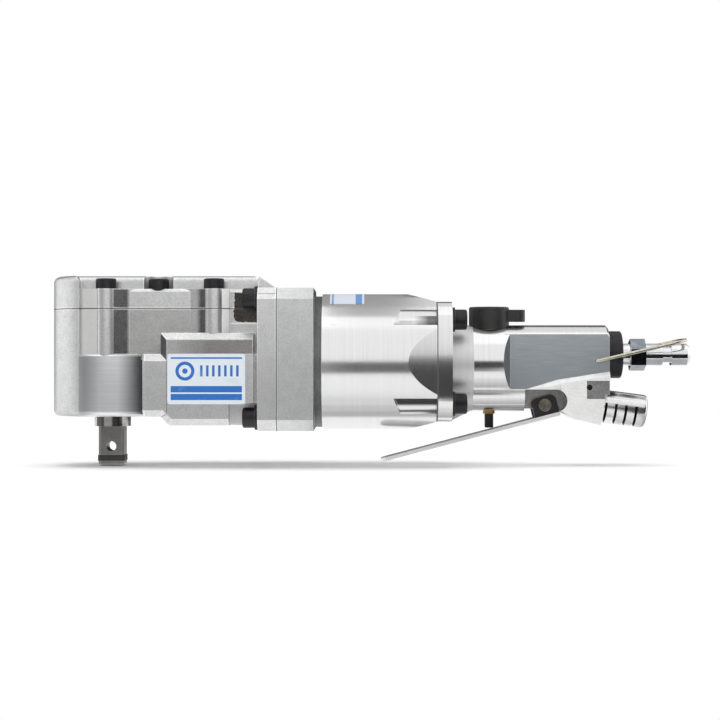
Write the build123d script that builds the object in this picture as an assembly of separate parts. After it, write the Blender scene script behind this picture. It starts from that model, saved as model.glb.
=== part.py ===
from build123d import *
import math
import os

# Air driven angle impact wrench, in millimetres.
# +X runs along the motor axis from the head to the air inlet, +Z is up,
# and the origin is the centre of the square drive's end face.

# Fits shared by all pieces
seat_gap = 0.03
running_gap = 0.05
hole_gap = 0.3
thread_gap = 0.1
end_gap = 0.4
gasket_thickness = 0.5

# Square drive and anvil
drive_square = 12.7
drive_length = 19.3
drive_edge = 1.2
pin_hole_radius = 2.5
pin_hole_height = 9.3
ring_bottom = 2.1
ring_height = 2.9
ring_proud = 0.35
ring_groove_radius = 5.6
collar_radius = 9.0
collar_height = 5.3
anvil_core_radius = 6.5
anvil_lug_radius = 8.8
anvil_lug_angle = 40.0
anvil_pilot_radius = 4.0
anvil_pilot_length = 6.0

# Head casting, with heights from its own bottom
axis_rise = 26.7
nose_radius = 29.0
nose_edge = 2.5
nose_floor = 11.4
nose_height = 30.3
end_groove_x = -13.0
strip_sink = 1.2
wall_half = 23.5
lower_half = 27.0
lower_start = 18.0
lower_chamfer = 3.2
apron_start = 19.1
label_half = 31.5
label_ahead = 2.0
label_behind = 2.0
label_drop = 4.2
label_height = 44.8
label_chamfer = 3.2
plate_length = 37.6
plate_height = 24.3
plate_thickness = 0.3
plate_corner = 1.2
plate_behind = 3.8
plate_rise = 10.4
flange_ahead = 24.0
flange_thickness = 9.0
flange_margin = 0.35
flange_crown = 2.25
flange_corner = 5.5
spigot_length = 3.0
bearing_floor = 3.6

# Cover
ledge_rise = 9.4
crown_rise = 6.5
crown_step = 1.0
ledge_edge = 1.2
cover_edge = 3.2
spot_radius = 7.2

# Screws and bolts
cover_screw_radius = 2.5
cover_screw_depth = 14.0
cover_head_radius = 5.0
cover_head_height = 5.0
cover_socket = 4.0
column_radius = 5.0
column_out = 24.0
middle_screw_out = 18.4
last_screw_ahead = 2.5
column_flank = 7.5
column_turn = 37.0
bolt_radius = 3.0
bolt_head_radius = 5.0
bolt_head_height = 6.0
bolt_socket = 5.0
washer_radius = 6.0
washer_thickness = 1.5
case_bolt_side = 8.2
case_bolt_roof = 5.2
case_bolt_foot = 6.5
case_bolt_depth = 14.0
pocket_length = 14.0
pocket_reach = 12.0
pocket_rise = 7.2

# Spur gears between the gear shaft and the hammer cage
pressure_angle = 20.0
tooth_backlash = 0.2
tooth_root = 1.25
spur_module = 1.25
spur_face = 8.0
hammer_teeth = 22
idler_teeth = 18
drive_teeth = 22
gear_gap = 0.6
pocket_gap = 1.0

# Bevel gears between the rotor and the gear shaft
bevel_module = 1.75
bevel_face = 7.0
pinion_teeth = 14
bevel_teeth = 20
bevel_cavity_gap = 0.9

# Gear shaft and idler
shaft_end_radius = 6.0
shaft_seat_radius = 7.0
shaft_collar_radius = 8.5
bearing_outer_radius = 13.0
bearing_width = 8.0
bevel_hub_radius = 12.0
idler_pin_radius = 3.0
idler_pin_depth = 11.0
idler_bush_radius = 5.0

# Twin hammer mechanism
cage_radius = 19.4
cage_plate = 2.6
cage_web_inside = 17.2
cage_web_angle = 56.0
cage_hub_radius = 9.0
cage_hub_length = 7.5
hammer_outside = 16.2
hammer_inside = 9.8
hammer_height = 9.0
hammer_jaw_inside = 7.6
hammer_jaw_angle = 32.0
hammer_pin_radius = 2.0
hammer_pin_out = 13.4
hammer_swing = 2.5
chamber_gap = 0.6
bush_radius = 12.0
seal_height = 2.4

# Motor
housing_radius = 33.65
housing_length = 77.5
housing_wall = 5.65
housing_flange_thickness = 17.5
groove_depth = 1.05
groove_width = 4.0
rear_wall = 11.0
rear_flat_length = 14.0
rear_flat_depth = 4.05
trough_length = 19.5
trough_radius = 6.0
trough_depth = 2.9
trough_turn = 49.5
trough_slant = 20.0
end_plate_thickness = 10.0
motor_bearing_outer = 14.0
motor_shaft_radius = 6.0
pinion_bore = 5.0
pinion_hub_radius = 9.0
liner_wall = 5.5
liner_shift = 1.9
rotor_gap = 0.4
port_radius = 2.0
port_count = 4
vane_count = 6
vane_thickness = 2.6
vane_depth = 10.0
vane_sink = 0.3
liner_pin_radius = 1.5
liner_pin_depth = 3.0
rear_opening_radius = 14.5

# Handle, with lengths from its front or its end and heights from the motor axis
handle_length = 85.2
handle_flange_thickness = 7.0
handle_flange_step = 0.2
handle_flange_corner = 13.0
handle_spigot_length = 2.5
handle_bolt_side = 11.4
handle_bolt_roof = 8.8
handle_bolt_depth = 9.0
neck_radius = 18.2
flat_half = 12.2
flat_ahead = 32.5
flat_slope = 3.6
handle_edge = 1.0
boss_radius = 10.0
boss_drop = 14.7
boss_behind = 41.5
web_half = 8.0
web_length = 16.0
recess_behind = 21.0
recess_drop = 13.7
recess_middle_drop = 19.3
recess_corner = 5.5
lug_half = 5.0
lug_radius = 4.3
lug_drop = 23.3
tail_half = 14.5
tail_rise_behind = 25.5
tail_rise_drop = 8.9
tail_top_drop = 4.9
tail_foot_behind = 24.0
tail_foot_drop = 24.2
tail_slope_behind = 17.5
tail_slope_drop = 28.2
tail_bottom_behind = 5.0
tail_bottom_drop = 31.2
tail_edge = 2.0
tail_pocket_behind = 11.5
tail_pocket_floor_drop = 18.5
tail_pocket_height = 9.2
tail_pocket_depth = 1.6
tail_screw_behind = 10.0
tail_screw_drop = 12.7
tail_screw_radius = 1.5
tail_screw_length = 6.0

# Valves in the handle, with heights from the motor axis
valve_ahead = 26.5
knob_radius = 10.0
knob_rise = 15.9
knob_height = 11.4
knob_tab_reach = 18.0
knob_tab_half = 4.0
knob_tab_rise = 4.0
knob_tab_height = 6.0
reverse_radius = 6.5
reverse_bush_radius = 8.5
reverse_rise = 3.7
reverse_port = 3.0
plunger_radius = 2.2
throttle_bore = 6.0
throttle_bore_rise = 0.7
throttle_bush_radius = 3.0
throttle_bush_drop = 25.9
throttle_bush_length = 8.6
throttle_valve_radius = 5.2
throttle_valve_drop = 13.3
throttle_valve_height = 3.0
spring_radius = 3.6
spring_wire = 0.5
spring_turns = 4
feed_radius = 3.5
feed_drop = 7.3
feed_reach = 15.0
feed_rise = 8.2

# Throttle lever
pivot_behind = 31.5
pivot_drop = 21.5
lever_angle = 14.7
lever_reach = 85.3
lever_tail = 6.3
lever_drop = 5.0
lever_thickness = 1.8
lever_half = 8.0
lever_corner = 5.0
lever_ear_thickness = 1.6
lever_ear_half = 6.3
lever_ear_rise = 4.4
lever_ear_corner = 3.0
lever_pin_radius = 2.0
lever_pin_head = 3.2
lever_pin_head_length = 1.2

# Inlet, hanger and exhaust
inlet_rise = 3.5
inlet_bore = 7.0
inlet_bush_radius = 11.75
inlet_bush_length = 7.0
inlet_thread_radius = 8.0
inlet_thread_length = 10.0
plug_stub_length = 4.5
plug_hex = 14.0
plug_hex_turn = 40.0
plug_hex_length = 7.5
plug_length = 22.3
plug_radius = 5.5
plug_groove_radius = 4.0
plug_groove_start = 8.5
plug_groove_length = 4.5
plug_bore = 3.2
plug_thread_radius = 5.0
plug_thread_length = 8.0
screen_thickness = 1.0
screen_hole = 0.9
screen_pitch = 2.2
screen_rows = 2
bail_wire = 0.9
bail_behind = 6.5
bail_rise = 0.3
bail_angle = 13.0
bail_reach = 46.0
bail_side_gap = 0.6
bail_hole_depth = 4.0
bail_bend = 1.2
bail_corner = 8.0
deflector_radius = 8.2
deflector_bore = 5.6
deflector_length = 19.5
deflector_sink = 8.0
deflector_seat = 3.0
deflector_ledge = 6.0
deflector_first = 1.2
deflector_angle = 7.5
deflector_drop = 22.4
deflector_grooves = 4
deflector_pitch = 5.0
deflector_groove = 1.3
deflector_groove_depth = 1.8
deflector_smooth = 2.0

# Heights in the head, from the drive's end up to the cover
case_bottom = drive_length + collar_height
motor_axis_height = case_bottom + axis_rise
recess_floor = case_bottom + nose_height
label_bottom = case_bottom - label_drop
label_top = label_bottom + label_height
chamber_radius = cage_radius + chamber_gap
chamber_floor = case_bottom + nose_floor
cage_bottom = chamber_floor + end_gap
lower_hammer_bottom = cage_bottom + cage_plate + end_gap
upper_hammer_bottom = lower_hammer_bottom + hammer_height + end_gap
cage_top = upper_hammer_bottom + hammer_height + end_gap + cage_plate
anvil_core_bottom = lower_hammer_bottom - end_gap
anvil_core_top = upper_hammer_bottom + hammer_height
anvil_top = cage_top + anvil_pilot_length
gear_bottom = cage_top + cage_hub_length
gear_top = gear_bottom + spur_face
gear_floor = gear_bottom - pocket_gap
split_height = gear_top + gear_gap
cover_bottom = split_height + gasket_thickness
ledge_height = cover_bottom + ledge_rise
cover_top = ledge_height + crown_rise
bearing_bottom = cover_bottom + end_gap
bearing_top = bearing_bottom + bearing_width
lower_bearing_bottom = label_bottom + bearing_floor
lower_bearing_top = lower_bearing_bottom + bearing_width

# Places along the head
idler_x = spur_module * (hammer_teeth + idler_teeth) / 2
shaft_x = idler_x + spur_module * (idler_teeth + drive_teeth) / 2
strip_radius = nose_radius - strip_sink
flange_left = shaft_x + flange_ahead
flange_right = flange_left + flange_thickness
label_left = idler_x + label_ahead
label_right = flange_left - label_behind
plate_x = label_right - plate_behind - plate_length / 2
plate_z = label_bottom + plate_rise + plate_height / 2
pocket_left = flange_left - pocket_length
flange_half = housing_radius + flange_margin
flange_rise = housing_radius + flange_crown
flange_drop = housing_radius
last_screw_x = shaft_x + last_screw_ahead
cover_screw_places = [
    (x, side * out)
    for x, out in ((0, column_out), (idler_x, middle_screw_out), (last_screw_x, column_out))
    for side in (-1, 1)
]
case_bolt_out = flange_half - case_bolt_side
case_bolt_rise = flange_rise - case_bolt_roof
case_bolt_drop = flange_drop - case_bolt_foot
case_bolt_places = [
    (side * case_bolt_out, motor_axis_height + rise)
    for rise in (case_bolt_rise, -case_bolt_drop)
    for side in (-1, 1)
]
pocket_wall = case_bolt_out - washer_radius - hole_gap
raised_half = pocket_wall - crown_step

# Sizes of the bevel gears
bevel_radius = bevel_module * bevel_teeth / 2
pinion_radius = bevel_module * pinion_teeth / 2
cone_distance = math.hypot(bevel_radius, pinion_radius)
toe_share = 1 - bevel_face / cone_distance
bevel_cavity = bevel_radius + bevel_module + bevel_cavity_gap
bevel_pitch_angle = math.atan2(bevel_teeth, pinion_teeth)
bevel_heel = pinion_radius + 2 * bevel_module * math.sin(bevel_pitch_angle)
bevel_toe = bevel_heel * toe_share
pinion_heel = bevel_radius + 2 * bevel_module * math.cos(bevel_pitch_angle)
pinion_toe = pinion_heel * toe_share

# Places along the motor
housing_bore = housing_radius - housing_wall
liner_bore = housing_bore - liner_wall
rotor_radius = liner_bore - liner_shift - rotor_gap
housing_front = flange_right + gasket_thickness
housing_rear = housing_front + housing_length
front_flange_right = housing_front + housing_flange_thickness
housing_groove_right = front_flange_right + groove_width
rear_flat_start = housing_rear - rear_flat_length
rear_flat_half = housing_radius - rear_flat_depth
trough_start = housing_rear - trough_length
trough_out = housing_radius + trough_radius - trough_depth
front_plate_left = flange_right + spigot_length
liner_left = front_plate_left + end_plate_thickness
rear_plate_right = housing_rear - rear_wall
liner_right = rear_plate_right - end_plate_thickness
pinion_bearing_right = front_plate_left - end_gap
pinion_bearing_left = pinion_bearing_right - bearing_width
rotor_left = liner_left + end_gap
rotor_right = liner_right - end_gap

# Places in the handle
handle_front = housing_rear + gasket_thickness
handle_flange_right = handle_front + handle_flange_thickness
handle_flange_half = rear_flat_half - handle_flange_step
handle_end = handle_front + handle_length
handle_bolt_out = handle_flange_half - handle_bolt_side
handle_bolt_rise = handle_flange_half - handle_bolt_roof
handle_bolt_places = [
    (side * handle_bolt_out, motor_axis_height + rise)
    for rise in (handle_bolt_rise, -handle_bolt_rise)
    for side in (-1, 1)
]
grip_roof = motor_axis_height + neck_radius
flat_start = handle_front + flat_ahead
boss_axis_height = motor_axis_height - boss_drop
boss_end = handle_end - boss_behind
web_end = handle_front + web_length
recess_end = handle_end - recess_behind
recess_top = motor_axis_height - recess_drop
recess_middle = motor_axis_height - recess_middle_drop
lug_floor = motor_axis_height - lug_drop
tail_rise_x = handle_end - tail_rise_behind
tail_rise = motor_axis_height - tail_rise_drop
tail_top = motor_axis_height - tail_top_drop
tail_foot_x = handle_end - tail_foot_behind
tail_foot = motor_axis_height - tail_foot_drop
tail_slope_x = handle_end - tail_slope_behind
tail_slope = motor_axis_height - tail_slope_drop
tail_bottom_x = handle_end - tail_bottom_behind
tail_bottom = motor_axis_height - tail_bottom_drop
tail_pocket_left = handle_end - tail_pocket_behind
tail_pocket_bottom = motor_axis_height - tail_pocket_floor_drop
tail_pocket_top = tail_pocket_bottom + tail_pocket_height
tail_screw_x = handle_end - tail_screw_behind
tail_screw_height = motor_axis_height - tail_screw_drop
tail_screw_head = tail_pocket_depth - tail_half
tail_screw_end = tail_screw_head + tail_screw_length

# Places of the valves, the lever and the fittings
valve_x = handle_front + valve_ahead
knob_bottom = motor_axis_height + knob_rise
knob_top = knob_bottom + knob_height
knob_tab_bottom = knob_bottom + knob_tab_rise
knob_tab_top = knob_tab_bottom + knob_tab_height
reverse_bottom = motor_axis_height + reverse_rise
throttle_bore_top = motor_axis_height + throttle_bore_rise
throttle_bush_bottom = motor_axis_height - throttle_bush_drop
throttle_bush_top = throttle_bush_bottom + throttle_bush_length
throttle_valve_bottom = motor_axis_height - throttle_valve_drop
feed_start = motor_axis_height - feed_drop
feed_height = motor_axis_height + feed_rise
inlet_height = motor_axis_height + inlet_rise
pivot_x = handle_end - pivot_behind
pivot_height = motor_axis_height - pivot_drop
lever_slope = math.radians(lever_angle)
plunger_foot = pivot_x - valve_x - plunger_radius
lever_rise = plunger_foot * math.tan(lever_slope)
lever_top_at_plunger = pivot_height - lever_drop / math.cos(lever_slope) - lever_rise
plunger_bottom = lever_top_at_plunger + hole_gap
bail_x = handle_end - bail_behind
bail_height = motor_axis_height + bail_rise
bail_half = flat_half + bail_side_gap + bail_wire
deflector_height = motor_axis_height - deflector_drop
BASE = (Align.CENTER, Align.CENTER, Align.MIN)


# Plain solids in the part's own frame
def upright(radius, bottom, top, x=0, y=0):
    """A cylinder about a vertical axis."""
    return Pos(x, y, bottom) * Cylinder(radius, top - bottom, align=BASE)


def lying(radius, left, right, y=0, z=motor_axis_height):
    """A cylinder about an axis along X."""
    return Pos(left, y, z) * Rot(0, 90, 0) * Cylinder(radius, right - left, align=BASE)


def crosswise(radius, near, far, x, z):
    """A cylinder about an axis along Y."""
    return Pos(x, near, z) * Rot(-90, 0, 0) * Cylinder(radius, far - near, align=BASE)


def block(left, right, half, bottom, top):
    """A box centred on the plane Y = 0."""
    place = Pos((left + right) / 2, 0, (bottom + top) / 2)
    return place * Box(right - left, 2 * half, top - bottom)


def side_block(left, right, inner, outer, bottom, top):
    """A pair of boxes on both sides of the plane Y = 0."""
    near = Pos((left + right) / 2, (inner + outer) / 2, (bottom + top) / 2)
    one = near * Box(right - left, outer - inner, top - bottom)
    return one + mirror(one, about=Plane.XZ)


def slab(left, right, half):
    """A rectangle in plan, centred on the X axis."""
    return Pos((left + right) / 2, 0) * Rectangle(right - left, 2 * half)


def raised(outline, bottom, top):
    """A plan outline raised from one height to another."""
    return Pos(0, 0, bottom) * extrude(outline, amount=top - bottom, dir=(0, 0, 1))


def side_profile(points, half):
    """An outline in the XZ plane, made as thick as 2 * half."""
    face = Plane.XZ * Polygon(*points, align=None)
    return extrude(face, amount=half, both=True)


def cap_screw(radius, head_radius, head_height, length, socket):
    """A socket head screw along Z, with its seat at the origin and its head above."""
    screw = Cylinder(head_radius, head_height, align=BASE)
    screw = fillet(screw.edges().group_by(Axis.Z)[-1], head_height / 6)
    screw += Pos(0, 0, -length) * Cylinder(radius, length, align=BASE)
    hexagon = extrude(RegularPolygon(socket / 2, 6, major_radius=False), amount=head_height)
    return screw - Pos(0, 0, head_height / 2) * hexagon


def ball_bearing(inner, outer, width):
    """A shielded ball bearing along Z, with its shields set in from both faces."""
    rim = (outer - inner) / 4
    sink = width / 12
    bearing = Cylinder(outer, width, align=BASE) - Cylinder(inner, width, align=BASE)
    shield = Cylinder(outer - rim, sink, align=BASE) - Cylinder(inner + rim, sink, align=BASE)
    return bearing - shield - Pos(0, 0, width - sink) * shield


# Gear teeth
def involute(angle):
    return math.tan(angle) - angle


def tooth_outline(teeth, radii, half_angles, phase):
    """One closed outline, each tooth drawn from its root up one flank and down the other."""
    points = []
    flank = list(zip(radii, half_angles))
    for tooth in range(teeth):
        middle = phase + 2 * math.pi * tooth / teeth
        places = [(r, middle - a) for r, a in flank] + [(r, middle + a) for r, a in reversed(flank)]
        points += [(r * math.cos(a), r * math.sin(a)) for r, a in places]
    return Polygon(*points, align=None)


def spur_gear(teeth, bore, phase):
    """A straight toothed gear along Z, with involute flanks."""
    pitch = spur_module * teeth / 2
    base = pitch * math.cos(math.radians(pressure_angle))
    root = pitch - tooth_root * spur_module
    half_pitch_angle = math.pi / (2 * teeth) - tooth_backlash / (4 * pitch)

    def half_angle(radius):
        slope = math.acos(min(1, base / radius))
        return half_pitch_angle + involute(math.radians(pressure_angle)) - involute(slope)

    radii = (root, pitch, pitch + spur_module)
    angles = [half_angle(radius) for radius in radii]
    outline = tooth_outline(teeth, radii, angles, phase)
    return extrude(outline, amount=spur_face) - Cylinder(bore, 3 * spur_face)


def bevel_wheel(teeth, mate_teeth, phase):
    """A straight bevel gear with its apex at the origin and its axis along +Z."""
    pitch = bevel_module * teeth / 2
    pitch_angle = math.atan2(teeth, mate_teeth)
    base_angle = math.asin(math.sin(pitch_angle) * math.cos(math.radians(pressure_angle)))
    tip_angle = pitch_angle + math.atan2(bevel_module, cone_distance)
    root_angle = pitch_angle - math.atan2(tooth_root * bevel_module, cone_distance)

    def turn(angle):
        rolled = math.acos(min(1, math.cos(angle) / math.cos(base_angle)))
        return rolled / math.sin(base_angle) - math.acos(min(1, math.tan(base_angle) / math.tan(angle)))

    half_pitch_angle = math.pi / (2 * teeth) - tooth_backlash / (4 * pitch)
    cone_angles = (root_angle, pitch_angle, tip_angle)
    half_angles = [half_pitch_angle + turn(pitch_angle) - turn(max(a, base_angle)) for a in cone_angles]

    def back_point(rise):
        """A point of the back cone, that far outside the pitch cone."""
        radius = pitch + rise * math.cos(pitch_angle)
        return radius, pitch / math.tan(pitch_angle) - rise * math.sin(pitch_angle)

    outer = back_point(2 * bevel_module)
    inner = back_point(-2 * bevel_module)
    sections = []
    for height in (outer[1] * toe_share, inner[1]):
        radii = [height * math.tan(a) for a in cone_angles]
        sections.append(Pos(0, 0, height) * tooth_outline(teeth, radii, half_angles, phase))
    toothed = loft(sections, ruled=True)
    toe_inner = (inner[0] * toe_share, inner[1] * toe_share)
    toe_outer = (outer[0] * toe_share, outer[1] * toe_share)
    rim = [(0, toe_inner[1]), toe_inner, toe_outer, outer, inner, (0, inner[1])]
    blank = revolve(Plane.XZ * Polygon(*rim, align=None), Axis.Z)
    return toothed & blank


def mesh_phase(teeth, mate_teeth, mate_phase):
    """Where a gear's first tooth points when its mate lies beside it, one step towards -X."""
    share = mate_phase * mate_teeth / (2 * math.pi)
    return math.pi - (0.5 + share) * 2 * math.pi / teeth


# Head castings
def screw_column(x, left_flank, right_flank):
    """Plan of a rounded column in the head's wall, one on each side, with sloping flanks."""
    shoulder = column_out + column_radius * math.sin(math.radians(column_turn))
    reach = column_radius * math.cos(math.radians(column_turn))
    points = [
        (x - reach - left_flank, wall_half - column_radius),
        (x - reach - left_flank, wall_half),
        (x - reach, shoulder),
        (x + reach, shoulder),
        (x + reach + right_flank, wall_half),
        (x + reach + right_flank, wall_half - column_radius),
    ]
    columns = Sketch()
    for side in (-1, 1):
        columns += Polygon(*[(px, side * py) for px, py in points][::-side], align=None)
        columns += Pos(x, side * column_out) * Circle(column_radius)
    return columns


def upper_outline():
    """Plan of the head above the turned nose, shared by the case, the gasket and the cover."""
    end = Circle(nose_radius) & slab(-nose_radius, end_groove_x, nose_radius)
    strip = Circle(strip_radius) & slab(end_groove_x, 0, nose_radius)
    outline = end + strip + slab(0, flange_left, wall_half)
    outline += screw_column(0, 0, column_flank)
    outline += screw_column(last_screw_x, column_flank, column_flank / 2)
    pockets = slab(pocket_left, flange_left, nose_radius) - slab(pocket_left, flange_left, pocket_wall)
    return outline - pockets


def handle_flange(left, right):
    """The rounded square flange between motor and handle."""
    size = 2 * handle_flange_half
    outline = RectangleRounded(size, size, handle_flange_corner)
    return extrude(Plane.YZ.offset(left) * Pos(0, motor_axis_height) * outline, amount=right - left)


def housing_flange(left, right):
    """The square flange between head and motor, with its corners cut off."""
    middle = motor_axis_height + (flange_rise - flange_drop) / 2
    outline = Rectangle(2 * flange_half, flange_rise + flange_drop)
    outline = chamfer(outline.vertices(), flange_corner)
    return extrude(Plane.YZ.offset(left) * Pos(0, middle) * outline, amount=right - left)


def bolt_pockets():
    """Clearance round the four bolt heads on the front of the head's flange."""
    top = cover_top + nose_radius
    upper_floor = motor_axis_height + case_bolt_rise - pocket_reach
    lower_roof = motor_axis_height - case_bolt_drop + pocket_rise
    upper = side_block(pocket_left, flange_left, pocket_wall, 2 * nose_radius, upper_floor, top)
    lower = side_block(pocket_left, flange_left, pocket_wall, 2 * nose_radius, 0, lower_roof)
    return upper + lower


def label_block():
    """The raised block that carries the plate, bevelled on top, in front and below, and its low apron."""
    points = [
        (apron_start, case_bottom),
        (apron_start, recess_floor),
        (label_left, recess_floor),
        (label_left, label_top),
        (label_right, label_top),
        (label_right, label_bottom),
        (label_left + label_drop, label_bottom),
        (label_left, case_bottom),
    ]
    body = side_profile(points, label_half)
    rims = body.faces().filter_by(Axis.Y).edges()
    bevelled = [rim for rim in rims if apron_start + seat_gap < rim.center().X < label_right - seat_gap]
    return chamfer(bevelled, label_chamfer)


def case_body():
    """The outside of the head below the cover."""
    nose = upright(nose_radius, case_bottom, recess_floor)
    nose = fillet(nose.edges().group_by(Axis.Z)[0], nose_edge)
    nose = chamfer(nose.edges().group_by(Axis.Z)[-1], nose_edge / 3)
    upper = raised(upper_outline(), recess_floor - nose_edge, split_height)
    core = block(0, flange_left, chamber_radius, case_bottom, split_height)
    lower = block(lower_start, flange_left, lower_half, case_bottom, recess_floor)
    lower = chamfer(lower.edges().filter_by(Axis.X).group_by(Axis.Z)[0], lower_chamfer)
    flange = housing_flange(flange_left, flange_right)
    slope = side_profile(
        [
            (flange_left, motor_axis_height),
            (flange_left, cover_top),
            (flange_right, motor_axis_height + flange_rise),
            (flange_right, motor_axis_height),
        ],
        raised_half,
    )
    spigot = lying(housing_bore - seat_gap, flange_right, front_plate_left)
    return nose + upper + core + lower + label_block() + flange + slope + spigot


def gear_case():
    case = case_body() - bolt_pockets()
    case -= upright(chamber_radius, chamber_floor, split_height)
    case -= upright(bush_radius + seat_gap, case_bottom, chamber_floor)
    case -= upright(bevel_cavity, lower_bearing_top, split_height, shaft_x)
    case -= upright(bearing_outer_radius + seat_gap, lower_bearing_bottom, lower_bearing_top, shaft_x)
    idler_tip = spur_module * (idler_teeth / 2 + 1)
    case -= upright(idler_tip + gear_gap, gear_floor, split_height, idler_x)
    case -= upright(idler_pin_radius + seat_gap, gear_floor - idler_pin_depth, gear_floor, idler_x)
    case -= lying(motor_bearing_outer + seat_gap, shaft_x, front_plate_left)
    for x, y in cover_screw_places:
        case -= upright(cover_screw_radius + thread_gap, split_height - cover_screw_depth, split_height, x, y)
    for y, z in case_bolt_places:
        case -= lying(bolt_radius + hole_gap, flange_left, flange_right, y, z)
    return case


def case_plate():
    """Thin plate on the near face of the label block."""
    outline = Plane.XZ.offset(label_half) * Pos(plate_x, plate_z) * RectangleRounded(
        plate_length, plate_height, plate_corner)
    return extrude(outline, amount=plate_thickness)


def cover_gasket():
    sheet = raised(upper_outline(), split_height, cover_bottom)
    sheet -= upright(chamber_radius, split_height, cover_bottom)
    sheet -= upright(bevel_cavity, split_height, cover_bottom, shaft_x)
    sheet -= upright(spur_module * (idler_teeth / 2 + 1) + gear_gap, split_height, cover_bottom, idler_x)
    for x, y in cover_screw_places:
        sheet -= upright(cover_screw_radius + hole_gap, split_height, cover_bottom, x, y)
    return sheet


def gear_case_cover():
    base = raised(upper_outline(), cover_bottom, ledge_height)
    base = chamfer(base.edges().group_by(Axis.Z)[-1].filter_by(Axis.X), ledge_edge)
    end = Circle(nose_radius) & slab(-nose_radius, end_groove_x, nose_radius)
    crown = end + slab(end_groove_x, flange_left, raised_half)
    crown = raised(crown, cover_bottom, cover_top)
    crown = fillet(crown.edges().group_by(Axis.Z)[-1], cover_edge)
    cover = base + crown
    for x, y in cover_screw_places:
        cover -= upright(cover_screw_radius + hole_gap, cover_bottom, ledge_height, x, y)
    for side in (-1, 1):
        cover -= upright(spot_radius, ledge_height, cover_top, idler_x, side * middle_screw_out)
    for x in (0, shaft_x):
        cover -= upright(bearing_outer_radius + seat_gap, cover_bottom, bearing_top, x)
        cover -= upright(shaft_seat_radius + hole_gap, bearing_top, bearing_top + 2 * end_gap, x)
    cover -= upright(idler_pin_radius + seat_gap, cover_bottom, bearing_top, idler_x)
    return cover


def cover_screws():
    length = ledge_height - split_height + cover_screw_depth - 2 * end_gap
    screw = cap_screw(cover_screw_radius, cover_head_radius, cover_head_height, length, cover_socket)
    return [Pos(x, y, ledge_height) * screw for x, y in cover_screw_places]


def case_bolts():
    length = washer_thickness + housing_front - flange_left + case_bolt_depth
    bolt = cap_screw(bolt_radius, bolt_head_radius, bolt_head_height, length, bolt_socket)
    seat = flange_left - washer_thickness
    return [Pos(seat, y, z) * Rot(0, -90, 0) * bolt for y, z in case_bolt_places]


def washers(left, places):
    """Flat washers under bolt heads, along the motor axis."""
    washer = Cylinder(washer_radius, washer_thickness, align=BASE)
    washer -= Cylinder(bolt_radius + hole_gap, washer_thickness, align=BASE)
    return [Pos(left, y, z) * Rot(0, 90, 0) * washer for y, z in places]


# Impact mechanism
def sector(inner, outer, angle, middle, bottom, top):
    """A piece of a ring about the anvil axis, with its angles in degrees."""
    reach = 2 * outer
    corners = [(0, 0)]
    for turn in (middle - angle / 2, middle + angle / 2):
        corners.append((reach * math.cos(math.radians(turn)), reach * math.sin(math.radians(turn))))
    piece = (Circle(outer) - Circle(inner)) & Polygon(*corners, align=None)
    return raised(piece, bottom, top)


def anvil():
    square = Box(drive_square, drive_square, drive_length, align=BASE)
    square = chamfer(square.edges().filter_by(Axis.Z), drive_edge)
    square = chamfer(square.faces().sort_by(Axis.Z)[0].edges(), drive_edge / 2)
    ring_top = ring_bottom + ring_height
    groove = upright(drive_square, ring_bottom, ring_top) - upright(ring_groove_radius, ring_bottom, ring_top)
    body = square - groove - crosswise(pin_hole_radius, -drive_square, drive_square, 0, pin_hole_height)
    body += upright(collar_radius, drive_length, anvil_core_bottom)
    body += upright(anvil_core_radius, anvil_core_bottom, anvil_core_top)
    body += upright(anvil_pilot_radius, anvil_core_top, anvil_top)
    for side, bottom in ((1, lower_hammer_bottom), (-1, upper_hammer_bottom)):
        lug = sector(anvil_core_radius / 2, anvil_lug_radius, anvil_lug_angle, side * 90, bottom,
                     bottom + hammer_height)
        body += lug
    return body


def socket_ring():
    """Friction ring that holds a socket on the square."""
    width = drive_square + 2 * ring_proud
    top = ring_bottom + ring_height
    ring = raised(RectangleRounded(width, width, drive_edge + ring_proud), ring_bottom, top)
    return ring - upright(ring_groove_radius + seat_gap, ring_bottom, top)


def anvil_bush():
    bottom = case_bottom + seal_height
    bush = upright(bush_radius, bottom, chamber_floor)
    return bush - upright(collar_radius + running_gap, bottom, chamber_floor)


def anvil_seal():
    top = case_bottom + seal_height
    return upright(bush_radius, case_bottom, top) - upright(collar_radius + thread_gap, case_bottom, top)


def hammer_cage():
    cage = upright(cage_radius, cage_bottom, cage_bottom + cage_plate)
    cage += upright(cage_radius, cage_top - cage_plate, cage_top)
    for middle in (0, 180):
        cage += sector(cage_web_inside, cage_radius, cage_web_angle, middle, cage_bottom, cage_top)
    cage += upright(cage_hub_radius, cage_top, gear_bottom)
    cage += upright(shaft_seat_radius, gear_bottom, gear_top)
    cage += upright(shaft_end_radius, gear_top, bearing_top)
    cage -= upright(collar_radius + running_gap, cage_bottom, cage_bottom + cage_plate)
    cage -= upright(anvil_pilot_radius + running_gap, cage_top - cage_plate, anvil_top + end_gap)
    for side in (-1, 1):
        cage -= upright(hammer_pin_radius + seat_gap, cage_bottom, cage_top, 0, side * hammer_pin_out)
    return cage


def hammer_pins():
    return [upright(hammer_pin_radius, cage_bottom, cage_top, 0, side * hammer_pin_out) for side in (-1, 1)]


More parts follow.
